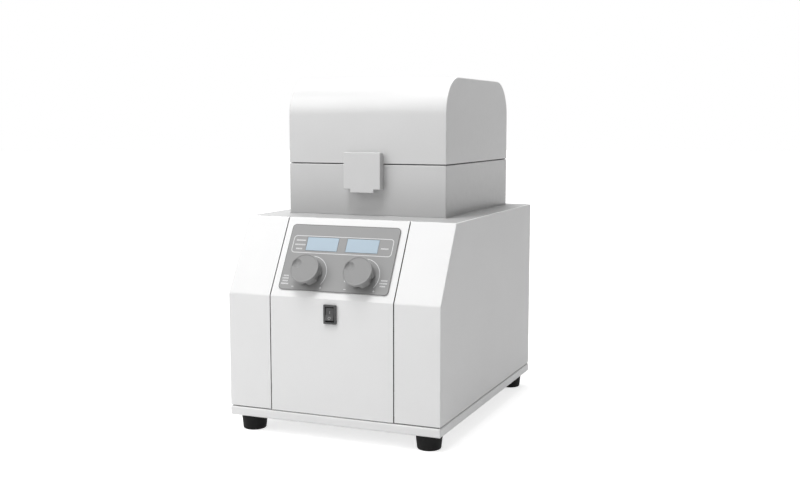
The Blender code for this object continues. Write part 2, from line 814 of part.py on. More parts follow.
def make_control_board(slope_frame):
    """Circuit board behind the slope, on four standoffs that reach the panel."""
    width = OVERLAY_WIDTH - 2 * BOARD_MARGIN
    height = OVERLAY_HEIGHT - BOARD_MARGIN
    middle = OVERLAY_START + OVERLAY_HEIGHT / 2
    board = box(
        "control_board",
        (width, height, BOARD_THICKNESS),
        (0, middle, -BOARD_DEPTH - BOARD_THICKNESS / 2),
        BOARD_GREEN,
        slope_frame,
    )
    x = width / 2 - 2 * STANDOFF_RADIUS
    y = height / 2 - 2 * STANDOFF_RADIUS
    top = -SHEET - FIT
    bottom = -BOARD_DEPTH - BOARD_THICKNESS / 2
    for i, (sx, sy) in enumerate([(-1, -1), (1, -1), (1, 1), (-1, 1)]):
        post = rod(
            f"standoff_{i}",
            STANDOFF_RADIUS,
            top - bottom,
            "Z",
            (sx * x, middle + sy * y, (top + bottom) / 2),
            frame=slope_frame,
            steps=SMALL_STEPS,
        )
        fuse(board, post)
    return board


def knob_profile():
    """Half of a knob's section: cap with a lip, skirt, well over the bushing and shaft bore."""
    top = KNOB_HEIGHT
    skirt = KNOB_RADIUS - KNOB_LIP
    shaft_bore = ENCODER_SHAFT_RADIUS + FIT
    well = KNOB_LIFT + KNOB_WELL_DEPTH
    bore_end = top - KNOB_CAP + KNOB_EDGE
    return [
        (0, top),
        (KNOB_RADIUS - KNOB_EDGE, top),
        (KNOB_RADIUS, top - KNOB_EDGE),
        (KNOB_RADIUS, top - KNOB_CAP + KNOB_EDGE),
        (skirt, top - KNOB_CAP),
        (skirt, KNOB_LIFT),
        (KNOB_WELL_RADIUS, KNOB_LIFT),
        (KNOB_WELL_RADIUS, well),
        (shaft_bore, well),
        (shaft_bore, bore_end),
        (0, bore_end),
    ]


def make_knob(side, x, slope_frame):
    """Round knob with five wide flutes under its cap and a finger dimple in its face."""
    at = (x, KNOB_CENTRE, 0)
    knob = turned("knob_" + side, knob_profile(), "Z", at, KNOB_GREY, slope_frame, steps=32)
    flute_top = KNOB_HEIGHT - KNOB_CAP
    flute_height = flute_top - KNOB_LIFT + OVERRUN
    for i in range(KNOB_FLUTES):
        turn = FLUTE_START + 2 * math.pi * i / KNOB_FLUTES
        flute = rod(
            f"flute_{side}_{i}",
            FLUTE_RADIUS,
            flute_height,
            "Z",
            (
                x + FLUTE_REACH * math.cos(turn),
                KNOB_CENTRE + FLUTE_REACH * math.sin(turn),
                flute_top - flute_height / 2,
            ),
            frame=slope_frame,
            steps=SMALL_STEPS,
        )
        cut(knob, flute)
    sphere_radius = (DIMPLE_RADIUS**2 + DIMPLE_DEPTH**2) / (2 * DIMPLE_DEPTH)
    form = bmesh.new()
    bmesh.ops.create_uvsphere(form, u_segments=24, v_segments=24, radius=sphere_radius)
    ball = from_bmesh("dimple_" + side, form)
    put(
        ball,
        (
            x + DIMPLE_REACH * math.cos(DIMPLE_ANGLE),
            KNOB_CENTRE + DIMPLE_REACH * math.sin(DIMPLE_ANGLE),
            KNOB_HEIGHT - DIMPLE_DEPTH + sphere_radius,
        ),
        frame=slope_frame,
    )
    return cut(knob, ball)


def make_encoder(side, x, slope_frame):
    """Encoder case with its bushing through the panel, and the shaft that the knob sits on."""
    front = -SHEET - FIT
    back = -BOARD_DEPTH + FIT
    case = box(
        "encoder_body_" + side,
        (ENCODER_SIDE, ENCODER_SIDE, front - back),
        (x, KNOB_CENTRE, (front + back) / 2),
        BLACK_PLASTIC,
        slope_frame,
    )
    top = FIT + OVERLAY_THICKNESS + BUSHING_HEIGHT - FIT
    bushing = rod(
        "bushing_" + side,
        BUSHING_RADIUS,
        top - (front + back) / 2,
        "Z",
        (x, KNOB_CENTRE, (top + (front + back) / 2) / 2),
        frame=slope_frame,
        steps=SMALL_STEPS,
    )
    fuse(case, bushing)
    bore_bottom = -SHAFT_INSET - 2 * ENCODER_SHAFT_RADIUS / 3
    bore = rod(
        "shaft_bore_" + side,
        ENCODER_SHAFT_RADIUS + FIT,
        top + OVERRUN - bore_bottom,
        "Z",
        (x, KNOB_CENTRE, (top + OVERRUN + bore_bottom) / 2),
        frame=slope_frame,
        steps=SMALL_STEPS,
    )
    cut(case, bore)
    shaft_top = KNOB_HEIGHT - KNOB_CAP + KNOB_EDGE - FIT
    rod(
        "encoder_shaft_" + side,
        ENCODER_SHAFT_RADIUS,
        shaft_top + SHAFT_INSET,
        "Z",
        (x, KNOB_CENTRE, (shaft_top - SHAFT_INSET) / 2),
        STEEL,
        slope_frame,
        SMALL_STEPS,
    )


def make_switch(front_frame):
    """Rocker switch: bezel and open case, terminals behind, and the rocker pressed at its top."""
    body_width = BEZEL_WIDTH - 2 * SWITCH_BODY_INSET
    body_height = BEZEL_HEIGHT - 2 * SWITCH_BODY_INSET
    bezel_top = FIT + BEZEL_PROUD
    case = prism(
        "switch_housing",
        [rounded_rectangle(BEZEL_WIDTH, BEZEL_HEIGHT, FINE_EDGE, steps=2)],
        BEZEL_PROUD,
        "XY",
        (0, 0, FIT + BEZEL_PROUD / 2),
        SWITCH_BLACK,
        front_frame,
    )
    body = span_box(
        "switch_body_shape",
        (-body_width / 2, -body_height / 2, -SWITCH_BODY_DEPTH),
        (body_width / 2, body_height / 2, FIT + BEZEL_PROUD / 2),
        frame=front_frame,
    )
    fuse(case, body)
    for i, share in enumerate((-1 / 3, 1 / 3)):
        terminal = span_box(
            f"terminal_{i}",
            (
                -TERMINAL_WIDTH / 2,
                share * body_height - TERMINAL_THICKNESS / 2,
                -SWITCH_BODY_DEPTH - TERMINAL_LENGTH,
            ),
            (
                TERMINAL_WIDTH / 2,
                share * body_height + TERMINAL_THICKNESS / 2,
                -SWITCH_BODY_DEPTH + SWITCH_WALL / 2,
            ),
            frame=front_frame,
        )
        fuse(case, terminal)
    rocker_width = BEZEL_WIDTH - 2 * BEZEL_RIM
    rocker_height = BEZEL_HEIGHT - 2 * BEZEL_RIM
    cavity = span_box(
        "switch_cavity",
        (-rocker_width / 2, -rocker_height / 2, -SWITCH_BODY_DEPTH + SWITCH_WALL),
        (rocker_width / 2, rocker_height / 2, bezel_top + OVERRUN),
        frame=front_frame,
    )
    cut(case, cavity)
    half = rocker_height / 2 - 4 * FIT
    waist = half / 2
    profile = [
        (half, ROCKER_CREST),
        (0, ROCKER_DIP),
        (-half, ROCKER_CREST),
        (-half, 0),
        (-waist, -ROCKER_BACK),
        (waist, -ROCKER_BACK),
        (half, 0),
    ]
    rocker = prism(
        "switch_rocker",
        [[(-w, v) for v, w in profile]],
        rocker_width - 2 * FIT,
        "YZ",
        (0, 0, 0),
        SWITCH_BLACK,
    )
    soften(rocker, FINE_EDGE / 2, segments=1)
    rocker.location = front_frame.location
    rocker.rotation_euler.rotate_axis("Z", -ROCKER_TILT)
    return case


def make_chamber():
    """Chamber walls with an inward rim at the top, open above and below."""
    shell = span_box(
        "chamber_shell",
        (-HEAD_WIDTH / 2, HEAD_FRONT_Y, HOUSING_TOP + FIT),
        (HEAD_WIDTH / 2, HEAD_REAR_Y, CHAMBER_TOP),
        HEAD_PAINT,
    )
    soften(shell, HEAD_EDGE)
    x = HEAD_WIDTH / 2
    hollow = span_box(
        "chamber_hollow",
        (-x + HEAD_WALL, HEAD_FRONT_Y + HEAD_WALL, HOUSING_TOP - OVERRUN),
        (x - HEAD_WALL, HEAD_REAR_Y - HEAD_WALL, CHAMBER_TOP - RIM_THICKNESS),
    )
    mouth = span_box(
        "chamber_mouth",
        (-x + RIM_WIDTH, HEAD_FRONT_Y + RIM_WIDTH, HOUSING_TOP),
        (x - RIM_WIDTH, HEAD_REAR_Y - RIM_WIDTH, CHAMBER_TOP + OVERRUN),
    )
    cut(shell, hollow, mouth)
    outer = rectangle(HEAD_WIDTH - 2 * SEAL_INSET, HEAD_DEPTH - 2 * SEAL_INSET)
    within = SEAL_INSET + SEAL_WIDTH
    inner = rectangle(HEAD_WIDTH - 2 * within, HEAD_DEPTH - 2 * within)
    thickness = LID_SEAM - 2 * FIT
    prism(
        "chamber_seal", [outer, inner], thickness, "XY", (0, HEAD_Y, SEAM_Z), SEAL_RUBBER
    )
    return shell


def arched_outline(inset, bottom):
    """The lid's side profile: upright front and back, and a large arc at each top corner."""
    front = HEAD_FRONT_Y + inset
    rear = HEAD_REAR_Y - inset
    radius = LID_ARCH_RADIUS - inset
    arc_z = LID_TOP - LID_ARCH_RADIUS
    quarter = math.pi / 2
    loop = [(front, bottom), (rear, bottom)]
    rear_centre = (HEAD_REAR_Y - LID_ARCH_RADIUS, arc_z)
    front_centre = (HEAD_FRONT_Y + LID_ARCH_RADIUS, arc_z)
    loop += arc(radius, 0, quarter, ARC_STEPS, rear_centre)
    loop += arc(radius, quarter, 2 * quarter, ARC_STEPS, front_centre)
    return loop


def make_lid(lid_frame):
    """Arched lid shell with its foam liner inside."""
    outline = arched_outline(0, LID_BOTTOM)
    lid = prism("lid_shell", [outline], HEAD_WIDTH, "YZ", (0, 0, 0), HEAD_PAINT)
    soften(lid, HEAD_EDGE, segments=2, angle=40)
    hollow = prism(
        "lid_hollow",
        [arched_outline(HEAD_WALL, LID_BOTTOM - OVERRUN)],
        HEAD_WIDTH - 2 * HEAD_WALL,
        "YZ",
        (0, 0, 0),
    )
    cut(lid, hollow)
    outside = HEAD_WALL + FIT
    inside = outside + LINER_THICKNESS
    liner_bottom = LID_BOTTOM + LINER_LIFT
    liner = prism(
        "lid_liner",
        [arched_outline(outside, liner_bottom)],
        HEAD_WIDTH - 2 * outside,
        "YZ",
        (0, 0, 0),
        LINER_FOAM,
    )
    core = prism(
        "liner_hollow",
        [arched_outline(inside, liner_bottom - OVERRUN)],
        HEAD_WIDTH - 2 * inside,
        "YZ",
        (0, 0, 0),
    )
    cut(liner, core)
    hang(lid_frame, lid, hollow, liner, core)


def make_hinge_leaf(name, x, upper):
    """One hinge leaf: a plate on the head's back, with knuckles that share the pin."""
    way = 1 if upper else -1
    knuckle = HINGE_WIDTH / 3
    plate_front = HEAD_REAR_Y + FIT
    plate_back = plate_front + HINGE_LEAF
    clear = KNUCKLE_RADIUS + KNUCKLE_CLEARANCE
    low, high = sorted((SEAM_Z + way * clear, SEAM_Z + way * HINGE_LEAF_HEIGHT))
    leaf = span_box(
        name,
        (x - HINGE_WIDTH / 2, plate_front, low),
        (x + HINGE_WIDTH / 2, plate_back, high),
        STEEL,
    )
    middles = [0] if upper else [-knuckle, knuckle]
    length = knuckle - 2 * FIT
    for i, offset in enumerate(middles):
        low, high = sorted((SEAM_Z, SEAM_Z + way * (clear + OVERRUN)))
        tab = span_box(
            f"{name}_tab_{i}",
            (x + offset - length / 2, plate_front, low),
            (x + offset + length / 2, plate_back, high),
        )
        barrel = rod(
            f"{name}_barrel_{i}",
            KNUCKLE_RADIUS,
            length,
            "X",
            (x + offset, HINGE_Y, SEAM_Z),
            steps=SMALL_STEPS,
        )
        fuse(leaf, tab, barrel)
    bore = rod(
        name + "_bore",
        HINGE_PIN_RADIUS + FIT,
        HINGE_WIDTH + 2 * OVERRUN,
        "X",
        (x, HINGE_Y, SEAM_Z),
        steps=12,
    )
    return cut(leaf, bore)


def make_hinges(lid_frame):
    """Two butt hinges on the back of the head."""
    for side, x in (("left", -HINGE_X), ("right", HINGE_X)):
        make_hinge_leaf("hinge_lower_" + side, x, False)
        upper = make_hinge_leaf("hinge_upper_" + side, x, True)
        tools = [step.object for step in upper.modifiers]
        hang(lid_frame, upper, *tools)
        rod(
            "hinge_pin_" + side,
            HINGE_PIN_RADIUS,
            HINGE_WIDTH,
            "X",
            (x, HINGE_Y, SEAM_Z),
            STEEL,
            steps=12,
        )


def make_latch_lever(latch_frame):
    """Hollow lever: a square cover with a finger tab, pivot lugs and a seat for the magnet."""
    bottom = LATCH_TOP - LATCH_HEIGHT
    back = HEAD_FRONT_Y - LATCH_GAP
    heel = arc(
        LATCH_HEEL, 0, math.pi / 2, 4, (back - LATCH_HEEL, LATCH_TOP - LATCH_HEEL)
    )
    outline = [(LATCH_FRONT_Y, bottom), (back, bottom), *heel, (LATCH_FRONT_Y, LATCH_TOP)]
    lever = prism("latch_lever", [outline], LATCH_WIDTH, "YZ", (0, 0, 0), HEAD_PAINT)
    soften(lever, FINE_EDGE, segments=1, angle=50)
    hollow = span_box(
        "latch_hollow",
        (
            -LATCH_WIDTH / 2 + LATCH_WALL,
            LATCH_FRONT_Y + LATCH_WALL,
            bottom + LATCH_WALL,
        ),
        (LATCH_WIDTH / 2 - LATCH_WALL, back + OVERRUN, LATCH_TOP - LATCH_WALL),
    )
    cut(lever, hollow)
    tab = span_box(
        "latch_tab_shape",
        (-TAB_WIDTH / 2, LATCH_FRONT_Y, bottom - TAB_DROP),
        (TAB_WIDTH / 2, LATCH_FRONT_Y + TAB_THICKNESS, bottom + LATCH_WALL / 2),
    )
    pieces = [lever, hollow, tab]
    fuse(lever, tab)
    for i, x in enumerate((-LUG_SPACING / 2, LUG_SPACING / 2)):
        lug = span_box(
            f"latch_lug_{i}",
            (
                x - LUG_THICKNESS / 2,
                LATCH_FRONT_Y + LATCH_WALL / 2,
                LATCH_PIVOT_Z - LUG_RADIUS,
            ),
            (x + LUG_THICKNESS / 2, LATCH_PIVOT_Y + LUG_RADIUS, LATCH_TOP - LATCH_WALL / 2),
        )
        fuse(lever, lug)
        pieces.append(lug)
    seat = span_box(
        "magnet_seat",
        (
            -MAGNET_WIDTH / 2 - MAGNET_SEAT_RIM,
            LATCH_FRONT_Y + LATCH_WALL / 2,
            MAGNET_Z - MAGNET_HEIGHT / 2 - MAGNET_SEAT_RIM,
        ),
        (
            MAGNET_WIDTH / 2 + MAGNET_SEAT_RIM,
            MAGNET_FRONT_Y - FIT,
            MAGNET_Z + MAGNET_HEIGHT / 2 + MAGNET_SEAT_RIM,
        ),
    )
    fuse(lever, seat)
    pin_bore = rod(
        "latch_pin_bore",
        LATCH_PIN_RADIUS + LATCH_BORE_CLEARANCE,
        LUG_SPACING + 2 * LUG_THICKNESS,
        "X",
        (0, LATCH_PIVOT_Y, LATCH_PIVOT_Z),
        steps=12,
    )
    cut(lever, pin_bore)
    magnet = span_box(
        "latch_magnet",
        (-MAGNET_WIDTH / 2, MAGNET_FRONT_Y, MAGNET_Z - MAGNET_HEIGHT / 2),
        (MAGNET_WIDTH / 2, MAGNET_BACK_Y, MAGNET_Z + MAGNET_HEIGHT / 2),
        CAST_STEEL,
    )
    soften(magnet, MAGNET_SEAT_RIM / 3, segments=1)
    hang(latch_frame, *pieces, seat, pin_bore, magnet)
    return lever


def make_latch_bracket(lid_frame):
    """Plate with two ears on the lid, and the pin through them that the lever swings on."""
    plate_back = HEAD_FRONT_Y - FIT
    plate_front = plate_back - BRACKET_PLATE
    half = EAR_SPACING / 2 + EAR_THICKNESS / 2
    bracket = span_box(
        "latch_bracket",
        (-half, plate_front, LID_BOTTOM + FIT),
        (half, plate_back, LATCH_PIVOT_Z),
        STEEL,
    )
    pieces = [bracket]
    for i, x in enumerate((-EAR_SPACING / 2, EAR_SPACING / 2)):
        web = span_box(
            f"latch_ear_web_{i}",
            (x - EAR_THICKNESS / 2, LATCH_PIVOT_Y, LATCH_PIVOT_Z - EAR_RADIUS),
            (x + EAR_THICKNESS / 2, plate_back - BRACKET_PLATE / 2, LATCH_PIVOT_Z),
        )
        eye = rod(
            f"latch_ear_eye_{i}",
            EAR_RADIUS,
            EAR_THICKNESS,
            "X",
            (x, LATCH_PIVOT_Y, LATCH_PIVOT_Z),
            steps=SMALL_STEPS,
        )
        fuse(bracket, web, eye)
        pieces += [web, eye]
    bore = rod(
        "latch_ear_bore",
        LATCH_PIN_RADIUS + FIT,
        2 * half + 2 * OVERRUN,
        "X",
        (0, LATCH_PIVOT_Y, LATCH_PIVOT_Z),
        steps=12,
    )
    cut(bracket, bore)
    pin = rod(
        "latch_pin",
        LATCH_PIN_RADIUS,
        LUG_SPACING + LUG_THICKNESS,
        "X",
        (0, LATCH_PIVOT_Y, LATCH_PIVOT_Z),
        STEEL,
        steps=12,
    )
    hang(lid_frame, *pieces, bore, pin)


def make_keeper():
    """Flat steel plate on the chamber's front that the magnet holds."""
    keeper = span_box(
        "latch_keeper",
        (-KEEPER_WIDTH / 2, HEAD_FRONT_Y - FIT - KEEPER_THICKNESS, MAGNET_Z - KEEPER_HEIGHT / 2),
        (KEEPER_WIDTH / 2, HEAD_FRONT_Y - FIT, MAGNET_Z + KEEPER_HEIGHT / 2),
        STEEL,
    )
    return soften(keeper, KEEPER_THICKNESS / 4, segments=1)


def ring_profile(bore, radius, flange_radius, flange, top, bottom):
    """Section of a flanged bush: bore, barrel below and a flange at the top."""
    return [
        (bore, top),
        (flange_radius, top),
        (flange_radius, top - flange),
        (radius, top - flange),
        (radius, bottom),
        (bore, bottom),
    ]


def make_deck():
    """Chamber floor plate with the shaft's flanged bearing and two guide bushes."""
    inset = HEAD_WALL + DECK_CLEARANCE
    guides = (-GUIDE_SPACING / 2, GUIDE_SPACING / 2)
    loops = [rectangle(HEAD_WIDTH - 2 * inset, HEAD_DEPTH - 2 * inset)]
    loops.append(circle(BEARING_RADIUS + FIT))
    loops += [circle(BUSH_RADIUS + FIT, (x, 0), SMALL_STEPS) for x in guides]
    prism(
        "chamber_floor",
        loops,
        DECK_THICKNESS,
        "XY",
        (0, HEAD_Y, DECK_BOTTOM + DECK_THICKNESS / 2),
        STEEL,
    )
    top = DECK_TOP + FIT + BEARING_FLANGE
    turned(
        "shaft_bearing",
        ring_profile(
            DRIVE_SHAFT_RADIUS + FIT,
            BEARING_RADIUS,
            BEARING_FLANGE_RADIUS,
            BEARING_FLANGE,
            top,
            BEARING_BOTTOM,
        ),
        "Z",
        (0, HEAD_Y, 0),
        STEEL,
        ring=True,
    )
    top = DECK_TOP + FIT + BUSH_FLANGE
    for side, x in zip(("left", "right"), guides):
        turned(
            "guide_bush_" + side,
            ring_profile(
                GUIDE_ROD_RADIUS + FIT,
                BUSH_RADIUS,
                BUSH_FLANGE_RADIUS,
                BUSH_FLANGE,
                top,
                DECK_TOP - BUSH_DROP,
            ),
            "Z",
            (x, HEAD_Y, 0),
            BRONZE,
            steps=SMALL_STEPS,
            ring=True,
        )


def make_carriage():
    """Platform, drive shaft, two guide rods and the stud that clamps the rack."""
    platform = box(
        "platform",
        (PLATFORM_WIDTH, PLATFORM_DEPTH, PLATFORM_THICKNESS),
        (0, HEAD_Y, PLATFORM_BOTTOM + PLATFORM_THICKNESS / 2),
        ALUMINIUM,
    )
    soften(platform, PLATFORM_EDGE, segments=1)
    shaft_top = PLATFORM_BOTTOM - FIT
    shaft_bottom = CROSSHEAD_TOP + FIT
    rod(
        "drive_shaft",
        DRIVE_SHAFT_RADIUS,
        shaft_top - shaft_bottom,
        "Z",
        (0, HEAD_Y, (shaft_top + shaft_bottom) / 2),
        STEEL,
    )
    rod_bottom = DECK_TOP - BUSH_DROP - STROKE - GUIDE_OVERHANG
    for side, x in (("left", -GUIDE_SPACING / 2), ("right", GUIDE_SPACING / 2)):
        rod(
            "guide_rod_" + side,
            GUIDE_ROD_RADIUS,
            shaft_top - rod_bottom,
            "Z",
            (x, HEAD_Y, (shaft_top + rod_bottom) / 2),
            STEEL,
            steps=SMALL_STEPS,
        )
    stud_bottom = PLATFORM_TOP + FIT
    rod(
        "clamp_stud",
        STUD_RADIUS,
        STUD_TOP - stud_bottom,
        "Z",
        (0, HEAD_Y, (STUD_TOP + stud_bottom) / 2),
        STEEL,
        steps=SMALL_STEPS,
    )


def make_crosshead():
    """Forked block under the drive shaft, with the wrist pin through its fork."""
    block = span_box(
        "crosshead",
        (
            -CROSSHEAD_WIDTH / 2,
            HEAD_Y - CROSSHEAD_DEPTH / 2,
            CROSSHEAD_TOP - CROSSHEAD_HEIGHT,
        ),
        (CROSSHEAD_WIDTH / 2, HEAD_Y + CROSSHEAD_DEPTH / 2, CROSSHEAD_TOP),
        CAST_STEEL,
    )
    soften(block, CROSSHEAD_EDGE, segments=1)
    slot_half = ROD_THICKNESS / 2 + ROD_SLOT_CLEARANCE
    slot = span_box(
        "rod_slot",
        (
            -CROSSHEAD_WIDTH / 2 - OVERRUN,
            HEAD_Y - slot_half,
            CROSSHEAD_TOP - CROSSHEAD_HEIGHT - OVERRUN,
        ),
        (
            CROSSHEAD_WIDTH / 2 + OVERRUN,
            HEAD_Y + slot_half,
            WRIST_Z + ROD_SMALL_RADIUS + OVERRUN,
        ),
    )
    bore = rod(
        "wrist_bore",
        WRIST_PIN_RADIUS + FIT,
        CROSSHEAD_DEPTH + 2 * OVERRUN,
        "Y",
        (0, HEAD_Y, WRIST_Z),
        steps=SMALL_STEPS,
    )
    cut(block, slot, bore)
    rod(
        "wrist_pin",
        WRIST_PIN_RADIUS,
        CROSSHEAD_DEPTH - 2 * FIT,
        "Y",
        (0, HEAD_Y, WRIST_Z),
        STEEL,
        steps=SMALL_STEPS,
    )


def make_connecting_rod():
    """Rod with an eye at each end and a tapered shank, and the crank pin in its big end."""
    length = WRIST_Z - CRANK_PIN_Z
    small = ROD_SMALL_RADIUS
    big = ROD_BIG_RADIUS
    lean = math.asin((big - small) / length)
    outline = arc(small, lean, math.pi - lean, 6)
    outline += arc(big, math.pi - lean, 2 * math.pi + lean, 14, (0, -length))
    loops = [
        outline,
        circle(WRIST_PIN_RADIUS + FIT, steps=SMALL_STEPS),
        circle(CRANK_PIN_RADIUS + FIT, (0, -length), SMALL_STEPS),
    ]
    prism(
        "connecting_rod", loops, ROD_THICKNESS, "XZ", (0, HEAD_Y, WRIST_Z), CAST_STEEL
    )
    rod(
        "crank_pin",
        CRANK_PIN_RADIUS,
        CRANK_PIN_LENGTH,
        "Y",
        (0, HEAD_Y, CRANK_PIN_Z),
        STEEL,
        steps=SMALL_STEPS,
    )


def make_motor():
    """Round motor with two end caps and cooling grooves, and a blind bore for the shaft."""
    cap = MOTOR_CAP_LENGTH
    body_radius = MOTOR_RADIUS - MOTOR_CAP_STEP
    profile = [
        (0, 0),
        (MOTOR_RADIUS - MOTOR_EDGE, 0),
        (MOTOR_RADIUS, -MOTOR_EDGE),
        (MOTOR_RADIUS, -cap),
        (body_radius, -cap),
    ]
    run = MOTOR_LENGTH - 2 * cap
    for i in range(COOLING_GROOVES):
        middle = -cap - run * (i + 1) / (COOLING_GROOVES + 1)
        profile += [
            (body_radius, middle + GROOVE_WIDTH / 2),
            (body_radius - GROOVE_DEPTH, middle + GROOVE_WIDTH / 2),
            (body_radius - GROOVE_DEPTH, middle - GROOVE_WIDTH / 2),
            (body_radius, middle - GROOVE_WIDTH / 2),
        ]
    end = MOTOR_LENGTH
    profile += [
        (body_radius, cap - end),
        (MOTOR_RADIUS, cap - end),
        (MOTOR_RADIUS, MOTOR_EDGE - end),
        (MOTOR_RADIUS - MOTOR_EDGE, -end),
        (0, -end),
    ]
    motor = turned("motor", profile, "Y", (0, MOTOR_BACK_Y, MOTOR_Z), MOTOR_PAINT)
    bore = rod(
        "motor_bore",
        MOTOR_SHAFT_RADIUS + FIT,
        2 * MOTOR_BORE_DEPTH,
        "Y",
        (0, MOTOR_BACK_Y, MOTOR_Z),
        steps=SMALL_STEPS,
    )
    cut(motor, bore)
    shaft_front = MOTOR_BACK_Y - MOTOR_BORE_DEPTH + FIT
    shaft_back = FLYWHEEL_BACK_Y - FIT
    rod(
        "motor_shaft",
        MOTOR_SHAFT_RADIUS,
        shaft_back - shaft_front,
        "Y",
        (0, (shaft_front + shaft_back) / 2, MOTOR_Z),
        STEEL,
        steps=SMALL_STEPS,
    )


def make_motor_bracket():
    """Face plate behind the motor, a foot under it and a gusset on each side."""
    top = MOTOR_Z + MOTOR_RADIUS + BRACKET_TOP_MARGIN
    bottom = PLATE_TOP + FIT
    x = MOTOR_RADIUS + BRACKET_SIDE_CLEARANCE + GUSSET_THICKNESS
    bracket = span_box(
        "motor_bracket", (-x, BRACKET_FRONT_Y, bottom), (x, BRACKET_BACK_Y, top), CAST_STEEL
    )
    foot = span_box(
        "bracket_foot",
        (-x, BRACKET_BACK_Y - BRACKET_FOOT_DEPTH, bottom),
        (x, BRACKET_FRONT_Y + BRACKET_THICKNESS / 2, bottom + BRACKET_THICKNESS),
    )
    fuse(bracket, foot)
    toe = BRACKET_BACK_Y - BRACKET_FOOT_DEPTH
    inside = BRACKET_THICKNESS / 2
    web = [
        (toe, bottom + inside),
        (BRACKET_FRONT_Y + inside, bottom + inside),
        (BRACKET_FRONT_Y + inside, MOTOR_Z + MOTOR_RADIUS / 2),
        (BRACKET_FRONT_Y, MOTOR_Z + MOTOR_RADIUS / 2),
        (toe, bottom + BRACKET_THICKNESS),
    ]
    for i, way in enumerate((-1, 1)):
        middle = way * (x - GUSSET_THICKNESS / 2)
        gusset = prism(f"gusset_{i}", [web], GUSSET_THICKNESS, "YZ", (middle, 0, 0))
        fuse(bracket, gusset)
    bore = rod(
        "bracket_bore",
        BRACKET_BORE_RADIUS,
        2 * (BRACKET_THICKNESS + OVERRUN),
        "Y",
        (0, (BRACKET_FRONT_Y + BRACKET_BACK_Y) / 2, MOTOR_Z),
        steps=SMALL_STEPS,
    )
    return cut(bracket, bore)


def make_flywheel():
    """Flywheel with a heavy rim, a hub, a thin web and a ring of holes in the web."""
    radius = FLYWHEEL_RADIUS
    thick = FLYWHEEL_THICKNESS
    rim = radius - FLYWHEEL_RIM
    bore = MOTOR_SHAFT_RADIUS + FIT
    recess = FLYWHEEL_RECESS
    profile = [
        (bore, 0),
        (FLYWHEEL_HUB_RADIUS, 0),
        (FLYWHEEL_HUB_RADIUS, -recess),
        (rim, -recess),
        (rim, 0),
        (radius, 0),
        (radius, -thick),
        (rim, -thick),
        (rim, recess - thick),
        (FLYWHEEL_HUB_RADIUS, recess - thick),
        (FLYWHEEL_HUB_RADIUS, -thick),
        (bore, -thick),
    ]
    at = (0, FLYWHEEL_BACK_Y, MOTOR_Z)
    wheel = turned("flywheel", profile, "Y", at, CAST_STEEL, steps=32, ring=True)
    ring = (rim + FLYWHEEL_HUB_RADIUS) / 2
    for i in range(FLYWHEEL_HOLES):
        turn = 2 * math.pi * i / FLYWHEEL_HOLES
        hole = rod(
            f"flywheel_hole_{i}",
            FLYWHEEL_HOLE_RADIUS,
            2 * thick,
            "Y",
            (ring * math.cos(turn), FLYWHEEL_BACK_Y, MOTOR_Z + ring * math.sin(turn)),
            steps=12,
        )
        cut(wheel, hole)
    return wheel


def make_rack():
    """Bored block that holds the tubes, and the plate that clamps it down."""
    stud = circle(STUD_RADIUS + STUD_CLEARANCE, steps=SMALL_STEPS)
    wells = []
    for column in range(WELL_COLUMNS):
        for row in range(WELL_ROWS):
            x = WELL_PITCH_X * (column - (WELL_COLUMNS - 1) / 2)
            y = WELL_PITCH_Y * (row - (WELL_ROWS - 1) / 2)
            wells.append(circle(WELL_RADIUS, (x, y), SMALL_STEPS))
    outline = rounded_rectangle(RACK_WIDTH, RACK_DEPTH, RACK_EDGE, steps=2)
    prism(
        "tube_rack",
        [outline, stud, *wells],
        RACK_HEIGHT,
        "XY",
        (0, HEAD_Y, RACK_BOTTOM + RACK_HEIGHT / 2),
        RACK_PLASTIC,
    )
    prism(
        "clamp_plate",
        [outline, stud],
        CLAMP_PLATE_THICKNESS,
        "XY",
        (0, HEAD_Y, CLAMP_PLATE_BOTTOM + CLAMP_PLATE_THICKNESS / 2),
        ALUMINIUM,
    )


def make_clamp_knob():
    """Lobed hand knob on the stud, over a round hub."""
    top = CLAMP_KNOB_HEIGHT
    bore = STUD_RADIUS + STUD_CLEARANCE
    rounding = CLAMP_HUB_HEIGHT / 2
    profile = [
        (bore, top),
        (CLAMP_KNOB_RADIUS - rounding, top),
        (CLAMP_KNOB_RADIUS, top - rounding),
        (CLAMP_KNOB_RADIUS, CLAMP_HUB_HEIGHT + rounding),
        (CLAMP_KNOB_RADIUS - rounding, CLAMP_HUB_HEIGHT),
        (CLAMP_HUB_RADIUS, CLAMP_HUB_HEIGHT),
        (CLAMP_HUB_RADIUS, 0),
        (bore, 0),
    ]
    at = (0, HEAD_Y, CLAMP_KNOB_BOTTOM)
    knob = turned("clamp_knob", profile, "Z", at, BLACK_PLASTIC, ring=True)
    reach = CLAMP_KNOB_RADIUS + CLAMP_NOTCH_RADIUS - CLAMP_NOTCH_BITE
    for i in range(CLAMP_LOBES):
        turn = 2 * math.pi * i / CLAMP_LOBES
        notch = rod(
            f"clamp_notch_{i}",
            CLAMP_NOTCH_RADIUS,
            CLAMP_KNOB_HEIGHT + 2 * OVERRUN,
            "Z",
            (
                reach * math.cos(turn),
                HEAD_Y + reach * math.sin(turn),
                CLAMP_KNOB_BOTTOM + CLAMP_KNOB_HEIGHT / 2,
            ),
            steps=SMALL_STEPS,
        )
        cut(knob, notch)
    return knob


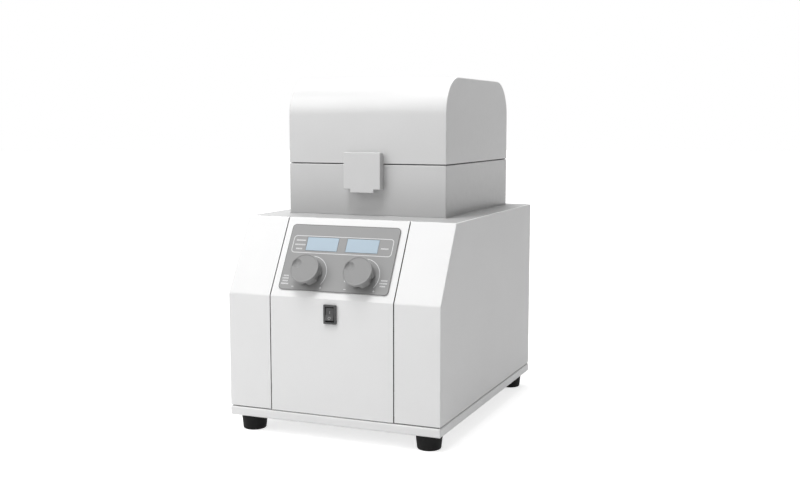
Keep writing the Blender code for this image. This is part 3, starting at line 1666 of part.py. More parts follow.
def make_rear_panel(rear_frame, fan_place, inlet_place):
    """Flat sheet between the housing's sides, with a slotted grille and the inlet's hole."""
    inset = SHEET + FIT
    width = BASE_WIDTH - 2 * inset
    bottom = HOUSING_BOTTOM
    top = HOUSING_TOP - inset
    loops = [rectangle(width, top - bottom, (0, (top + bottom) / 2))]
    fan_x, fan_z = fan_place
    reach = FAN_BORE_RADIUS - GRILLE_SLOT / 2
    for i in range(GRILLE_SLOTS):
        rise = GRILLE_PITCH * (i - (GRILLE_SLOTS - 1) / 2)
        half = math.sqrt(max(reach**2 - rise**2, GRILLE_PITCH**2))
        slot = rounded_rectangle(
            2 * half, GRILLE_SLOT, GRILLE_SLOT / 2 - MERGE, (fan_x, fan_z + rise), 2
        )
        loops.append(slot)
    hole_width = INLET_BODY_WIDTH + 2 * FIT
    hole_height = INLET_BODY_HEIGHT + 2 * FIT
    loops.append(rectangle(hole_width, hole_height, inlet_place))
    return prism(
        "rear_panel", loops, SHEET, "XY", (0, 0, -SHEET / 2), WHITE_PAINT, rear_frame
    )


def make_fan(rear_frame, place):
    """Square fan case with a hub on four arms and an axle, and its bladed rotor."""
    x, z = place
    front = -SHEET - FIT
    back = front - FAN_DEPTH
    loops = [
        rounded_rectangle(FAN_SIDE, FAN_SIDE, FAN_ARM_WIDTH, steps=2),
        circle(FAN_BORE_RADIUS),
    ]
    case = prism(
        "fan_frame",
        loops,
        FAN_DEPTH,
        "XY",
        (x, z, (front + back) / 2),
        BLACK_PLASTIC,
        rear_frame,
    )
    hub_back = back + FAN_HUB_THICKNESS
    hub = rod(
        "fan_hub",
        FAN_HUB_RADIUS,
        FAN_HUB_THICKNESS,
        "Z",
        (x, z, (back + hub_back) / 2),
        frame=rear_frame,
    )
    fuse(case, hub)
    for i in range(FAN_ARMS // 2):
        turn = math.pi / 4 + math.pi * i / 2
        arm = box(
            f"fan_arm_{i}",
            (
                2 * FAN_BORE_RADIUS + FAN_ARM_WIDTH / 2,
                FAN_ARM_WIDTH,
                FAN_HUB_THICKNESS * FAN_ARM_DEPTH_SHARE,
            ),
            (x, z, back + FAN_HUB_THICKNESS / 2),
            frame=rear_frame,
        )
        arm.rotation_euler = (0, 0, turn)
        fuse(case, arm)
    rotor_back = hub_back + FIT + FAN_HUB_THICKNESS / 6
    axle_top = rotor_back + ROTOR_DEPTH / 2
    axle = rod(
        "fan_axle",
        FAN_AXLE_RADIUS,
        axle_top - back - FAN_HUB_THICKNESS / 2,
        "Z",
        (x, z, (axle_top + back + FAN_HUB_THICKNESS / 2) / 2),
        frame=rear_frame,
        steps=12,
    )
    fuse(case, axle)
    bore = FAN_AXLE_RADIUS + FIT
    profile = [
        (0, ROTOR_DEPTH),
        (FAN_HUB_RADIUS, ROTOR_DEPTH),
        (FAN_HUB_RADIUS, 0),
        (bore, 0),
        (bore, ROTOR_DEPTH / 2 + FIT),
        (0, ROTOR_DEPTH / 2 + FIT),
    ]
    rotor = turned("fan_rotor", profile, "Z", (x, z, rotor_back), BLACK_PLASTIC, rear_frame)
    reach = FAN_BORE_RADIUS - FAN_TIP_CLEARANCE
    chord = FAN_BLADE_CHORD_SHARE * ROTOR_DEPTH / math.sin(FAN_BLADE_PITCH)
    span = reach - FAN_HUB_RADIUS * FAN_ROOT_SHARE
    for i in range(FAN_BLADES):
        turn = 2 * math.pi * i / FAN_BLADES
        middle = reach - span / 2
        blade = box(
            f"fan_blade_{i}",
            (span, chord, FAN_BLADE_THICKNESS),
            (
                x + middle * math.cos(turn),
                z + middle * math.sin(turn),
                rotor_back + ROTOR_DEPTH / 2,
            ),
            frame=rear_frame,
        )
        blade.rotation_euler = (FAN_BLADE_PITCH, 0, turn)
        fuse(rotor, blade)
    return case


def make_inlet(rear_frame, place):
    """Mains inlet: a flanged socket with cut corners and three pins inside."""
    x, z = place
    front = FIT + INLET_FLANGE
    inlet = prism(
        "power_inlet",
        [rounded_rectangle(INLET_FLANGE_WIDTH, INLET_FLANGE_HEIGHT, INLET_CORNER, steps=2)],
        INLET_FLANGE,
        "XY",
        (x, z, FIT + INLET_FLANGE / 2),
        BLACK_PLASTIC,
        rear_frame,
    )
    body = span_box(
        "inlet_body",
        (x - INLET_BODY_WIDTH / 2, z - INLET_BODY_HEIGHT / 2, front - INLET_BODY_DEPTH),
        (x + INLET_BODY_WIDTH / 2, z + INLET_BODY_HEIGHT / 2, front - INLET_FLANGE / 2),
        frame=rear_frame,
    )
    half_width = INLET_BODY_WIDTH / 2 - INLET_WALL
    half_height = INLET_BODY_HEIGHT / 2 - INLET_WALL
    socket = [
        (-half_width, -half_height),
        (half_width, -half_height),
        (half_width, half_height - INLET_CHAMFER),
        (half_width - INLET_CHAMFER, half_height),
        (-half_width + INLET_CHAMFER, half_height),
        (-half_width, half_height - INLET_CHAMFER),
    ]
    floor = front - INLET_BODY_DEPTH + INLET_FLOOR
    cavity = prism(
        "inlet_cavity",
        [socket],
        front + OVERRUN - floor,
        "XY",
        (x, z, (front + OVERRUN + floor) / 2),
        frame=rear_frame,
    )
    fuse(inlet, body)
    cut(inlet, cavity)
    drop = INLET_EARTH_RISE / 2
    pins = [(-INLET_PIN_SPACING / 2, -drop), (INLET_PIN_SPACING / 2, -drop), (0, drop)]
    root = floor - INLET_FLOOR / 2
    for i, (px, pz) in enumerate(pins):
        pin = span_box(
            f"inlet_pin_{i}",
            (x + px - INLET_PIN_WIDTH / 2, z + pz - INLET_PIN_HEIGHT / 2, root),
            (x + px + INLET_PIN_WIDTH / 2, z + pz + INLET_PIN_HEIGHT / 2, floor + INLET_PIN_LENGTH),
            frame=rear_frame,
        )
        fuse(inlet, pin)
    return inlet


def make_power_supply():
    """Covered power supply on the plate, with vent grooves across its top."""
    outer = BASE_WIDTH / 2 - SHEET - CURB_WALL - ELECTRONICS_SIDE_GAP
    rear = REAR_Y - SHEET - ELECTRONICS_REAR_GAP
    bottom = PLATE_TOP + FIT
    top = bottom + SUPPLY_HEIGHT
    supply = span_box(
        "power_supply",
        (-outer, rear - SUPPLY_DEPTH, bottom),
        (SUPPLY_WIDTH - outer, rear, top),
        STEEL,
    )
    soften(supply, SUPPLY_EDGE, segments=1)
    middle = SUPPLY_WIDTH / 2 - outer
    for i in range(SUPPLY_SLOTS):
        y = rear - SUPPLY_DEPTH * (i + 1) / (SUPPLY_SLOTS + 1)
        groove = box(
            f"supply_groove_{i}",
            (SUPPLY_WIDTH * SUPPLY_SLOT_SHARE, SUPPLY_SLOT_WIDTH, 2 * SUPPLY_SLOT_DEPTH),
            (middle, y, top),
        )
        cut(supply, groove)
    return supply


def make_drive_board():
    """Motor drive board on standoffs, with a finned heat sink and two capacitors."""
    outer = BASE_WIDTH / 2 - SHEET - CURB_WALL - ELECTRONICS_SIDE_GAP
    rear = REAR_Y - SHEET - ELECTRONICS_REAR_GAP
    bottom = PLATE_TOP + FIT + DRIVE_BOARD_LIFT
    top = bottom + BOARD_THICKNESS
    left = outer - DRIVE_BOARD_WIDTH
    front = rear - DRIVE_BOARD_DEPTH
    board = span_box("drive_board", (left, front, bottom), (outer, rear, top), BOARD_GREEN)
    inset = 2 * STANDOFF_RADIUS
    post_top = bottom + BOARD_THICKNESS / 2
    post_bottom = PLATE_TOP + FIT
    corners = [
        (left + inset, front + inset),
        (outer - inset, front + inset),
        (outer - inset, rear - inset),
        (left + inset, rear - inset),
    ]
    for i, (x, y) in enumerate(corners):
        post = rod(
            f"board_post_{i}",
            STANDOFF_RADIUS,
            post_top - post_bottom,
            "Z",
            (x, y, (post_top + post_bottom) / 2),
            steps=12,
        )
        fuse(board, post)
    middle = (left + outer) / 2
    sunk = top - BOARD_THICKNESS / 2
    sink_front = front + 3 * inset
    sink = span_box(
        "heat_sink_base",
        (middle - HEAT_SINK_WIDTH / 2, sink_front, sunk),
        (middle + HEAT_SINK_WIDTH / 2, sink_front + HEAT_SINK_DEPTH, top + HEAT_SINK_BASE),
    )
    fuse(board, sink)
    for i in range(HEAT_SINK_FINS):
        travel = (HEAT_SINK_WIDTH - FIN_THICKNESS) * i / (HEAT_SINK_FINS - 1)
        x = middle - HEAT_SINK_WIDTH / 2 + travel
        fin = span_box(
            f"heat_sink_fin_{i}",
            (x, sink_front, top + HEAT_SINK_BASE / 2),
            (x + FIN_THICKNESS, sink_front + HEAT_SINK_DEPTH, top + HEAT_SINK_HEIGHT),
        )
        fuse(board, fin)
    can_bottom = sunk
    can_top = top + CAPACITOR_HEIGHT
    for i, way in enumerate((-1, 1)):
        can = rod(
            f"capacitor_{i}",
            CAPACITOR_RADIUS,
            can_top - can_bottom,
            "Z",
            (
                middle + way * (CAPACITOR_RADIUS + STANDOFF_RADIUS),
                rear - 2 * inset - CAPACITOR_RADIUS,
                (can_top + can_bottom) / 2,
            ),
            steps=SMALL_STEPS,
        )
        fuse(board, can)
    return board


def make_controls():
    """Everything on the front panel, drawn in the slope's and the front face's directions."""
    slope_turn = (math.pi / 2 - SLOPE_LEAN, 0, 0)
    slope_frame = frame_at("slope_frame", (0, FRONT_Y, BEND_Z), slope_turn)
    switch_z = BEND_Z - SWITCH_BEND_GAP - BEZEL_HEIGHT / 2
    front_frame = frame_at("switch_frame", (0, FRONT_Y, switch_z), (math.pi / 2, 0, 0))
    make_front_panel(front_frame, slope_frame)
    make_overlay(slope_frame)
    make_displays(slope_frame)
    make_control_board(slope_frame)
    for side, way in (("left", -1), ("right", 1)):
        x = way * KNOB_X
        make_encoder(side, x, slope_frame)
        make_knob(side, x, slope_frame)
    make_switch(front_frame)


def make_rear():
    """Rear panel, fan and inlet, drawn as seen from behind with +X to that viewer's right."""
    rear_frame = frame_at("rear_frame", (0, REAR_Y, 0), (math.pi / 2, 0, math.pi))
    fan_x = -BASE_WIDTH / 2 + FAN_EDGE_GAP + FAN_SIDE / 2
    fan_z = HOUSING_TOP - FAN_TOP_GAP - FAN_SIDE / 2
    inlet_x = BASE_WIDTH / 2 - INLET_EDGE_GAP
    inlet_z = PLATE_TOP + INLET_HEIGHT_ABOVE_PLATE
    make_rear_panel(rear_frame, (fan_x, fan_z), (inlet_x, inlet_z))
    make_fan(rear_frame, (fan_x, fan_z))
    make_inlet(rear_frame, (inlet_x, inlet_z))


def make_head():
    """Chamber, lid, hinges and latch; the lid's pieces hang on the hinge axis."""
    lid_frame = frame_at("lid_axis", (0, HINGE_Y, SEAM_Z))
    latch_frame = frame_at("latch_axis", (0, LATCH_PIVOT_Y, LATCH_PIVOT_Z))
    make_chamber()
    make_deck()
    make_lid(lid_frame)
    make_hinges(lid_frame)
    make_latch_bracket(lid_frame)
    make_latch_lever(latch_frame)
    make_keeper()


def make_drive():
    """Motor, crank and the carriage that it shakes, with the rack clamped on top."""
    make_motor()
    make_motor_bracket()
    make_flywheel()
    make_connecting_rod()
    make_crosshead()
    make_carriage()
    make_rack()
    make_clamp_knob()
    make_power_supply()
    make_drive_board()


make_base_plate()
make_feet()
make_housing()
make_controls()
make_rear()
make_head()
make_drive()
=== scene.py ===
"""A bench tissue grinder: white wedge-fronted base, grey grinding chamber with an arched lid.

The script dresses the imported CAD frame. Metres, +Z up, the front faces -Y.
"""

import math

import bmesh
import bpy
import numpy as np
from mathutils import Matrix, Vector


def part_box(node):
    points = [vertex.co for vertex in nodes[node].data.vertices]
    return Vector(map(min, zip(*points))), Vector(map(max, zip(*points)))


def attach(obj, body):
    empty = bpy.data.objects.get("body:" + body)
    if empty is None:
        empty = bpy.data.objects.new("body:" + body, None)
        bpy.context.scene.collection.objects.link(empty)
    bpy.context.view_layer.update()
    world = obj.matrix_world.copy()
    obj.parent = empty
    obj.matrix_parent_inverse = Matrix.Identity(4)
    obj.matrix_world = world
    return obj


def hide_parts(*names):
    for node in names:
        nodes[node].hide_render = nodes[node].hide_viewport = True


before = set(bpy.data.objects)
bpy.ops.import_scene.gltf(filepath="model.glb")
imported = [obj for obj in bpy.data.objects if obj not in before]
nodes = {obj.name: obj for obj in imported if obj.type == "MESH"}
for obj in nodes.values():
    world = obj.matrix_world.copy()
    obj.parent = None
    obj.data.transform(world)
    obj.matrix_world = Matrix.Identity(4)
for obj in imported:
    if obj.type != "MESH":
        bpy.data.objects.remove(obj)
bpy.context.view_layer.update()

# ---------------------------------------------------------------------------
# Studio: a white table that runs out of sight, a broad lamp at the front left,
# one high over the front, one behind, and a camera a little below the lid's top.
CAMERA_PLACE = (0.5073, -1.2057, 0.3486)
CAMERA_PITCH = math.radians(90 - 6.78)
CAMERA_YAW = math.radians(22.36)
CAMERA_LENS = 48.63
CAMERA_SENSOR = 36.0
LAMP_AIM = (0.0, 0.0, 0.28)
LAMPS = [
    ("front_box", (-1.26, -1.51, 1.66), 1.5, 21.0),
    ("top_box", (-0.10, -0.78, 2.20), 0.72, 24.0),
    ("rear_box", (-0.80, 1.00, 2.00), 1.5, 24.0),
]
TABLE_RADIUS = 12.0
TABLE_CORNERS = 48
TABLE_GREY = (0.67, 0.67, 0.67, 1.0)
TABLE_NEAR, TABLE_FAR = 0.6, 3.0
GLOW_NEAR, GLOW_FAR = 0.70, 1.0
SKY_LIGHT = 0.36
WHITE = (1.0, 1.0, 1.0, 1.0)

lens = bpy.data.cameras.new("camera")
lens.lens = CAMERA_LENS
lens.sensor_width = CAMERA_SENSOR
camera = bpy.data.objects.new("camera", lens)
camera.location = CAMERA_PLACE
camera.rotation_euler = (CAMERA_PITCH, 0.0, CAMERA_YAW)
bpy.context.scene.collection.objects.link(camera)
bpy.context.scene.camera = camera
bpy.context.scene.view_settings.view_transform = "Standard"


def add_node(tree, kind, *values, operation=None, recipe=None, **named):
    """A new shader node. Its inputs take values in turn, or by name with an underscore for a
    space, and a value that is another node's output is linked to its input."""
    node = tree.nodes.new("ShaderNode" + kind)
    if operation:
        node.operation = operation
    if recipe:
        node.node_tree = recipe
    pairs = list(zip(node.inputs, values))
    pairs += [(node.inputs[label.replace("_", " ")], value) for label, value in named.items()]
    for socket, value in pairs:
        if isinstance(value, bpy.types.NodeSocket):
            tree.links.new(value, socket)
        else:
            socket.default_value = value
    return node


def reckon(tree, operation, first, second):
    """A sum, a product or the greater of two values, each a socket or a number."""
    return add_node(tree, "Math", first, second, operation=operation).outputs[0]


def ramp(tree, value, low, high, start, end):
    """A value that runs from low to high made to run from start to end, and held there."""
    span = {"From_Min": low, "From_Max": high, "To_Min": start, "To_Max": end}
    return add_node(tree, "MapRange", value, **span)


def seen_directly(tree):
    """Light Path mask: one for camera, glossy and transmission rays, nought for the others."""
    ray = add_node(tree, "LightPath").outputs
    straight = reckon(tree, "MAXIMUM", ray["Is Camera Ray"], ray["Is Glossy Ray"])
    return reckon(tree, "MAXIMUM", straight, ray["Is Transmission Ray"])


def light_the_sky():
    """White wherever it is seen, and a lower even light on the object."""
    world = bpy.data.worlds.new("studio")
    world.use_nodes = True
    tree = world.node_tree
    tree.nodes.clear()
    seen = add_node(tree, "Background", Color=WHITE, Strength=1.0).outputs[0]
    lit = add_node(tree, "Background", Color=WHITE, Strength=SKY_LIGHT).outputs[0]
    mix = add_node(tree, "MixShader", seen_directly(tree), lit, seen).outputs[0]
    add_node(tree, "OutputWorld", Surface=mix)
    bpy.context.scene.world = world


def hang_lamp(name, place, size, power):
    """A square softbox at a place, turned towards the middle of the object."""
    lamp = bpy.data.lights.new(name, "AREA")
    lamp.shape = "SQUARE"
    lamp.size = size
    lamp.energy = power
    softbox = bpy.data.objects.new(name, lamp)
    bpy.context.scene.collection.objects.link(softbox)
    away = np.array(place, float) - np.array(LAMP_AIM, float)
    flat = math.hypot(away[0], away[1])
    softbox.location = place
    softbox.rotation_euler = (math.atan2(flat, away[2]), 0.0, math.atan2(away[0], -away[1]))


def full_turn(steps):
    """Angles of one turn, without its end."""
    return np.linspace(0, 2 * math.pi, steps, endpoint=False)


def table_top():
    """White table: pale paint for the light it throws back, and a glow where it is seen, which
    grows with the distance from the middle."""
    paint = bpy.data.materials.new("table_white")
    paint.use_nodes = True
    tree = paint.node_tree
    tree.nodes.clear()
    pale = add_node(tree, "BsdfDiffuse", Color=TABLE_GREY).outputs[0]
    where = add_node(tree, "TexCoord").outputs["Object"]
    reach = add_node(tree, "VectorMath", where, operation="LENGTH").outputs["Value"]
    fade = ramp(tree, reach, TABLE_NEAR, TABLE_FAR, GLOW_NEAR, GLOW_FAR).outputs[0]
    glow = add_node(tree, "Emission", Strength=fade).outputs[0]
    both = add_node(tree, "AddShader", pale, glow).outputs[0]
    mix = add_node(tree, "MixShader", seen_directly(tree), pale, both).outputs[0]
    add_node(tree, "OutputMaterial", Surface=mix)
    angle = full_turn(TABLE_CORNERS)
    rim = np.stack([np.cos(angle), np.sin(angle), 0 * angle], 1) * TABLE_RADIUS
    mesh = bpy.data.meshes.new("table")
    mesh.from_pydata(rim, [], [list(range(TABLE_CORNERS))])
    mesh.materials.append(paint)
    table = bpy.data.objects.new("table", mesh)
    bpy.context.scene.collection.objects.link(table)


light_the_sky()
for lamp in LAMPS:
    hang_lamp(*lamp)
table_top()

# ---------------------------------------------------------------------------
# Base plate: a folded steel tray with the powder coat of all the white sheet
# metal. The sides of its low curb are painted black as painted shade for the
# seam above it, and its two side faces a lighter white as painted light. Six
# pan-head screws come up through its underside.
PAINT_WHITE = 0.82
# Painted light: a lighter white for the plate's side faces, making up for the shade they fall in.
PLATE_SIDE_LIGHT_WHITE = 0.90
# Painted shade: black for the curb's sides and the front panel's side edges, darkening the seams.
SEAM_SHADE_BLACK = 0.030
CURB_LEVEL = 0.0285
BASE_UNDERSIDE = 0.018
PLATE_SCREWS_X = 0.072
PLATE_SCREWS_Y = (-0.130, 0.0, 0.130)
PAN_HEAD = 0.0032
HEAD_STEPS = 24
HEX_SOCKET = 0.42
NOISE_LOW, NOISE_HIGH = 0.3, 0.7
WELD_WITHIN = 0.00001
MERGE_WITHIN = 0.000001
NEARLY_ALL = 0.99
DOWN = (0, 0, -1)


def new_recipe(name, more=(), gives=("Colour", "Roughness", "Height")):
    """An empty shader node group with named sockets: it takes a place, a colour, a roughness
    and any more numbers. Gives the group, the sockets it takes and the sockets it gives."""
    kinds = {"Vector": "NodeSocketVector", "Colour": "NodeSocketColor"}
    recipe = bpy.data.node_groups.new(name, "ShaderNodeTree")
    for way, labels in (("INPUT", ("Vector", "Colour", "Roughness", *more)), ("OUTPUT", gives)):
        for label in labels:
            kind = kinds.get(label, "NodeSocketFloat")
            recipe.interface.new_socket(label, in_out=way, socket_type=kind)
    taken = recipe.nodes.new("NodeGroupInput").outputs
    given = recipe.nodes.new("NodeGroupOutput").inputs
    return recipe, taken, given


def put_out(recipe, given, **values):
    """Each value goes out of the recipe by the socket of its name."""
    for label, value in values.items():
        recipe.links.new(value, given[label])


def grain(recipe, taken, scale, detail):
    """Noise over the surface at so many lumps a metre, from nought to one."""
    noise = add_node(recipe, "TexNoise", taken["Vector"], Scale=scale, Detail=detail)
    return noise.outputs[0]


def spread(recipe, value, low, high):
    """The middle of a noise stretched to run from low to high."""
    return ramp(recipe, value, NOISE_LOW, NOISE_HIGH, low, high).outputs[0]


def tinted(recipe, colour, value):
    """A colour made lighter or darker by a value round one."""
    return add_node(recipe, "VectorMath", colour, Scale=value, operation="SCALE").outputs[0]


def layered_recipe(name, fine, broad, tint, shine, cells=0.0):
    """A finish of fine relief, a broad faint change of tone, and a change of shine between.

    fine and broad are lumps a metre, tint and shine are how far tone and roughness stray,
    and cells, where it is given, is how many pits a metre are sunk in the relief."""
    recipe, taken, given = new_recipe(name)
    relief = grain(recipe, taken, fine, detail=2.0)
    if cells:
        pits = add_node(recipe, "TexVoronoi", taken["Vector"], Scale=cells)
        relief = reckon(recipe, "MULTIPLY", relief, pits.outputs["Distance"])
    tone = spread(recipe, grain(recipe, taken, broad, detail=4.0), 1.0 - tint, 1.0 + tint)
    speck = spread(recipe, relief, 1.0 - tint / 2, 1.0 + tint / 2)
    colour = tinted(recipe, taken["Colour"], reckon(recipe, "MULTIPLY", tone, speck))
    blotches = grain(recipe, taken, math.sqrt(fine * broad), detail=3.0)
    stray = spread(recipe, blotches, -shine, shine)
    rough = reckon(recipe, "ADD", taken["Roughness"], stray)
    put_out(recipe, given, Colour=colour, Roughness=rough, Height=relief)
    return recipe


def finish(name, recipe, colour, roughness, relief, stretch=(1, 1, 1), **sockets):
    """A material: a recipe in object coordinates, a colour or a grey, the relief in metres, how
    much closer the grain lies along each axis, and numbers for the recipe or the shader."""
    colour = (colour, colour, colour) if isinstance(colour, float) else colour
    material = bpy.data.materials.new(name)
    material.use_nodes = True
    material.diffuse_color = (*colour, 1.0)
    tree = material.node_tree
    skin = tree.nodes["Principled BSDF"]
    where = add_node(tree, "TexCoord").outputs["Object"]
    place = add_node(tree, "Mapping", where, Scale=stretch).outputs["Vector"]
    mix = add_node(tree, "Group", place, (*colour, 1.0), roughness, recipe=recipe)
    bump = add_node(tree, "Bump", Strength=1.0, Distance=relief, Height=mix.outputs["Height"])
    tree.links.new(mix.outputs["Colour"], skin.inputs["Base Color"])
    tree.links.new(bump.outputs["Normal"], skin.inputs["Normal"])
    if "Roughness" in mix.outputs:
        tree.links.new(mix.outputs["Roughness"], skin.inputs["Roughness"])
    else:
        skin.inputs["Roughness"].default_value = roughness
    for label, value in sockets.items():
        label = label.replace("_", " ").title().replace("Ior", "IOR")
        owner = mix if label in mix.inputs else skin
        owner.inputs[label].default_value = value
    return material


def ease_edges(piece, width, turn):
    """Rounds the edges that turn by more than an angle, and evens the shading beside them."""
    ease = piece.modifiers.new("eased", "BEVEL")
    ease.width = width
    ease.segments = 2
    ease.limit_method = "ANGLE"
    ease.angle_limit = math.radians(turn)
    even = piece.modifiers.new("even", "WEIGHTED_NORMAL")
    even.weight = 100


def dress(names, material, edge=0.0003, turn=35):
    """Gives CAD solids their finish, and rounds and shades their sharp edges. A solid whose
    edge is nought is a flat sheet or a thin pin, and keeps its plain faces."""
    for name in names:
        piece = nodes[name]
        piece.data.materials.clear()
        piece.data.materials.append(material)
        if not edge:
            piece.data.shade_flat()
            continue
        piece.data.shade_smooth()
        weld = piece.modifiers.new("joined", "WELD")
        weld.merge_threshold = WELD_WITHIN
        ease_edges(piece, edge, turn)


def face_rows(piece, what):
    """The normal or the center of every face, one row each."""
    rows = np.zeros(len(piece.data.polygons) * 3)
    piece.data.polygons.foreach_get(what, rows)
    return rows.reshape(-1, 3)


def facing(piece, axis):
    """Which faces look along X, Y or Z, as axis 0, 1 or 2, either way."""
    return np.abs(face_rows(piece, "normal")[:, axis]) >= NEARLY_ALL


def repaint(piece, material, chosen):
    """The chosen faces take another finish."""
    mesh = piece.data
    mesh.materials.append(material)
    slots = np.zeros(len(mesh.polygons), np.int32)
    mesh.polygons.foreach_get("material_index", slots)
    slots[chosen] = len(mesh.materials) - 1
    mesh.polygons.foreach_set("material_index", slots)


def grid_quads(rows, columns, loop_rows, loop_columns):
    """Corner numbers of a grid's quads: each point, the next down, the one beside that, and
    the next across, with the last joined to the first where a direction is a loop."""
    down = np.arange(rows if loop_rows else rows - 1)
    across = np.arange(columns if loop_columns else columns - 1)
    i, j = np.meshgrid(down, across, indexing="ij")
    below = (i + 1) % rows
    beside = (j + 1) % columns
    quads = [i * columns + j, below * columns + j, below * columns + beside, i * columns + beside]
    return np.stack(quads, -1).reshape(-1, 4)


def surface(name, sheets, material, body, replaced=(), crease=35):
    """A piece made of grids of points, merged where they meet, with its faces turned outwards.

    Each sheet is (points, rows loop, columns loop, caps); caps names the first and last rows
    that are closed by one flat face."""
    points, faces, start = [], [], 0
    for grid, loop_rows, loop_columns, caps in sheets:
        rows, columns = grid.shape[:2]
        points.append(grid.reshape(-1, 3))
        faces += (grid_quads(rows, columns, loop_rows, loop_columns) + start).tolist()
        if "first" in caps:
            faces.append(list(range(start, start + columns)))
        if "last" in caps:
            end = start + rows * columns
            faces.append(list(range(end - columns, end)))
        start += rows * columns
    mesh = bpy.data.meshes.new(name)
    mesh.from_pydata(np.concatenate(points), [], faces)
    form = bmesh.new()
    form.from_mesh(mesh)
    bmesh.ops.remove_doubles(form, verts=form.verts, dist=MERGE_WITHIN)
    bmesh.ops.recalc_face_normals(form, faces=form.faces)
    form.to_mesh(mesh)
    form.free()
    mesh.materials.append(material)
    mesh.shade_smooth()
    mesh.set_sharp_from_angle(angle=math.radians(crease))
    piece = bpy.data.objects.new(name, mesh)
    bpy.context.scene.collection.objects.link(piece)
    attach(piece, body)
    if replaced:
        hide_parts(*replaced)
    return piece


def cross_axes(axis):
    """Two unit vectors square to an axis and to each other, and the axis as a unit vector."""
    along = np.asarray(axis, float)
    along = along / np.linalg.norm(along)
    spare = np.eye(3)[np.argmin(np.abs(along))]
    first = np.cross(along, spare)
    first = first / np.linalg.norm(first)
    return first, np.cross(along, first), along


def rings(radius, height, angle, at, axis):
    """Rings round an axis: each point lies its radius out from the axis at its angle, and its
    ring's height along the axis from a place."""
    first, second, along = cross_axes(axis)
    way = np.cos(angle)[:, None] * first + np.sin(angle)[:, None] * second
    return np.asarray(at, float) + radius[:, :, None] * way + height[:, None, None] * along


def pan_screw(at, axis, radius):
    """Pan head with a hexagon socket: rings of a low dome, and inside it rings whose radius is
    the socket's flat divided by the cosine of the angle from that flat's middle. Each row is
    a ring's radius, and its height as a share of the head's radius."""
    angle = full_turn(HEAD_STEPS)
    wedge = (angle + math.pi / 6) % (math.pi / 3) - math.pi / 6
    socket = HEX_SOCKET * radius / np.cos(wedge)
    even = np.full(HEAD_STEPS, radius)
    rows = [
        (even, -0.1),
        (even, 0.22),
        (even * 0.93, 0.40),
        (even * 0.80, 0.50),
        (socket * 1.12, 0.55),
        (socket, 0.52),
        (socket, 0.12),
        (socket * 0.001, 0.08),
    ]
    reach = np.stack([row for row, _ in rows])
    height = np.array([rise * radius for _, rise in rows])
    return rings(reach, height, angle, at, axis)


def screws(name, places, axis, body, radius=PAN_HEAD):
    """Several like zinc-plated screws as one piece."""
    sheets = [(pan_screw(at, axis, radius), False, True, ("first", "last")) for at in places]
    return surface(name, sheets, zinc, body)


def sheet_coat(name, grey, roughness=0.55):
    """The matt powder coat of the sheet metal."""
    return finish(name, powder, grey, roughness, relief=0.00002, specular_ior_level=0.3)


def metal(name, colour, roughness, relief, stretch=(1, 1, 1)):
    """Bare ground or drawn metal."""
    return finish(name, ground, colour, roughness, relief, stretch, metallic=1.0)


powder = layered_recipe("powder coat", fine=900.0, broad=14.0, tint=0.010, shine=0.05)
ground = layered_recipe("ground metal", fine=260.0, broad=9.0, tint=0.035, shine=0.07)
moulded = layered_recipe("moulded plastic", fine=1500.0, broad=20.0, tint=0.012, shine=0.04)

white_paint = sheet_coat("white_paint", PAINT_WHITE)
plate_side_light = sheet_coat("plate_side_painted_light", PLATE_SIDE_LIGHT_WHITE)
seam_shade_feel = {"roughness": 0.70, "relief": 0.00002, "specular_ior_level": 0.2}
# The black of the painted seam shade, with a rubbery roughness.
seam_shade_trim = finish("seam_shade_trim", moulded, SEAM_SHADE_BLACK, **seam_shade_feel)
zinc = metal("zinc_screw", (0.62, 0.62, 0.60), roughness=0.32, relief=0.000004)

plate = nodes["base_plate"]
dress(["base_plate"], white_paint, edge=0.0006)
curb = face_rows(plate, "center")[:, 2] > CURB_LEVEL
# Painted light: the plate's side faces take the lighter white.
repaint(plate, plate_side_light, facing(plate, 0))
# Painted shade: the curb's sides are painted black to darken the seam above them.
repaint(plate, seam_shade_trim, (facing(plate, 0) | facing(plate, 1)) & curb)
plate_places = [(s * PLATE_SCREWS_X, y, BASE_UNDERSIDE) for s in (-1, 1) for y in PLATE_SCREWS_Y]
screws("plate_screws", plate_places, DOWN, "base")

# ---------------------------------------------------------------------------
# Feet: tapered cups of moulded black rubber, each held by one screw in a
# round recess underneath.
FOOT_BLACK = 0.012
FOOT_TREAD = 0.0130
FOOT_RECESS = 0.0050
FOOT_RECESS_DEPTH = 0.0060
FOOT_ROUNDING = [0, 0.0004, 0.0005, 0.0018, 0.0007, 0]
FOOT_SCREW = 0.0040
NARROW = 0.001
UP = (0, 0, 1)

foot_feel = {"roughness": 0.70, "relief": 0.00003, "specular_ior_level": 0.15}
rubber = finish("foot_rubber", moulded, FOOT_BLACK, **foot_feel)


def turned(profile, at, axis, steps):
    """A shape of revolution: every (radius, height) of a profile is carried round an axis."""
    radius, height = np.asarray(profile, float).T
    return rings(radius[:, None], height, full_turn(steps), at, axis)


def rounded_turn(corners, radii, steps=4):
    """A line through corners, each rounded: an arc that touches both sides of the corner, its
    centre at radius over the sine of half the angle along the corner's middle line."""
    corners = np.asarray(corners, float)
    line = [corners[:1]]
    for i in range(1, len(corners) - 1):
        here = corners[i]
        before = corners[i - 1] - here
        after = corners[i + 1] - here
        before = before / np.linalg.norm(before)
        after = after / np.linalg.norm(after)
        half = math.acos(float(np.clip(before @ after, -1, 1))) / 2
        if radii[i] <= 0 or half > math.pi / 2 - NARROW:
            line.append(corners[i : i + 1])
            continue
        middle = (before + after) / np.linalg.norm(before + after)
        centre = here + middle * radii[i] / math.sin(half)
        start = here + before * radii[i] / math.tan(half) - centre
        end = here + after * radii[i] / math.tan(half) - centre
        share = np.linspace(0, 1, steps + 1)[:, None]
        whole = math.pi - 2 * half
        arc = (start * np.sin((1 - share) * whole) + end * np.sin(share * whole)) / math.sin(whole)
        line.append(centre + arc)
    line.append(corners[-1:])
    return np.concatenate(line)


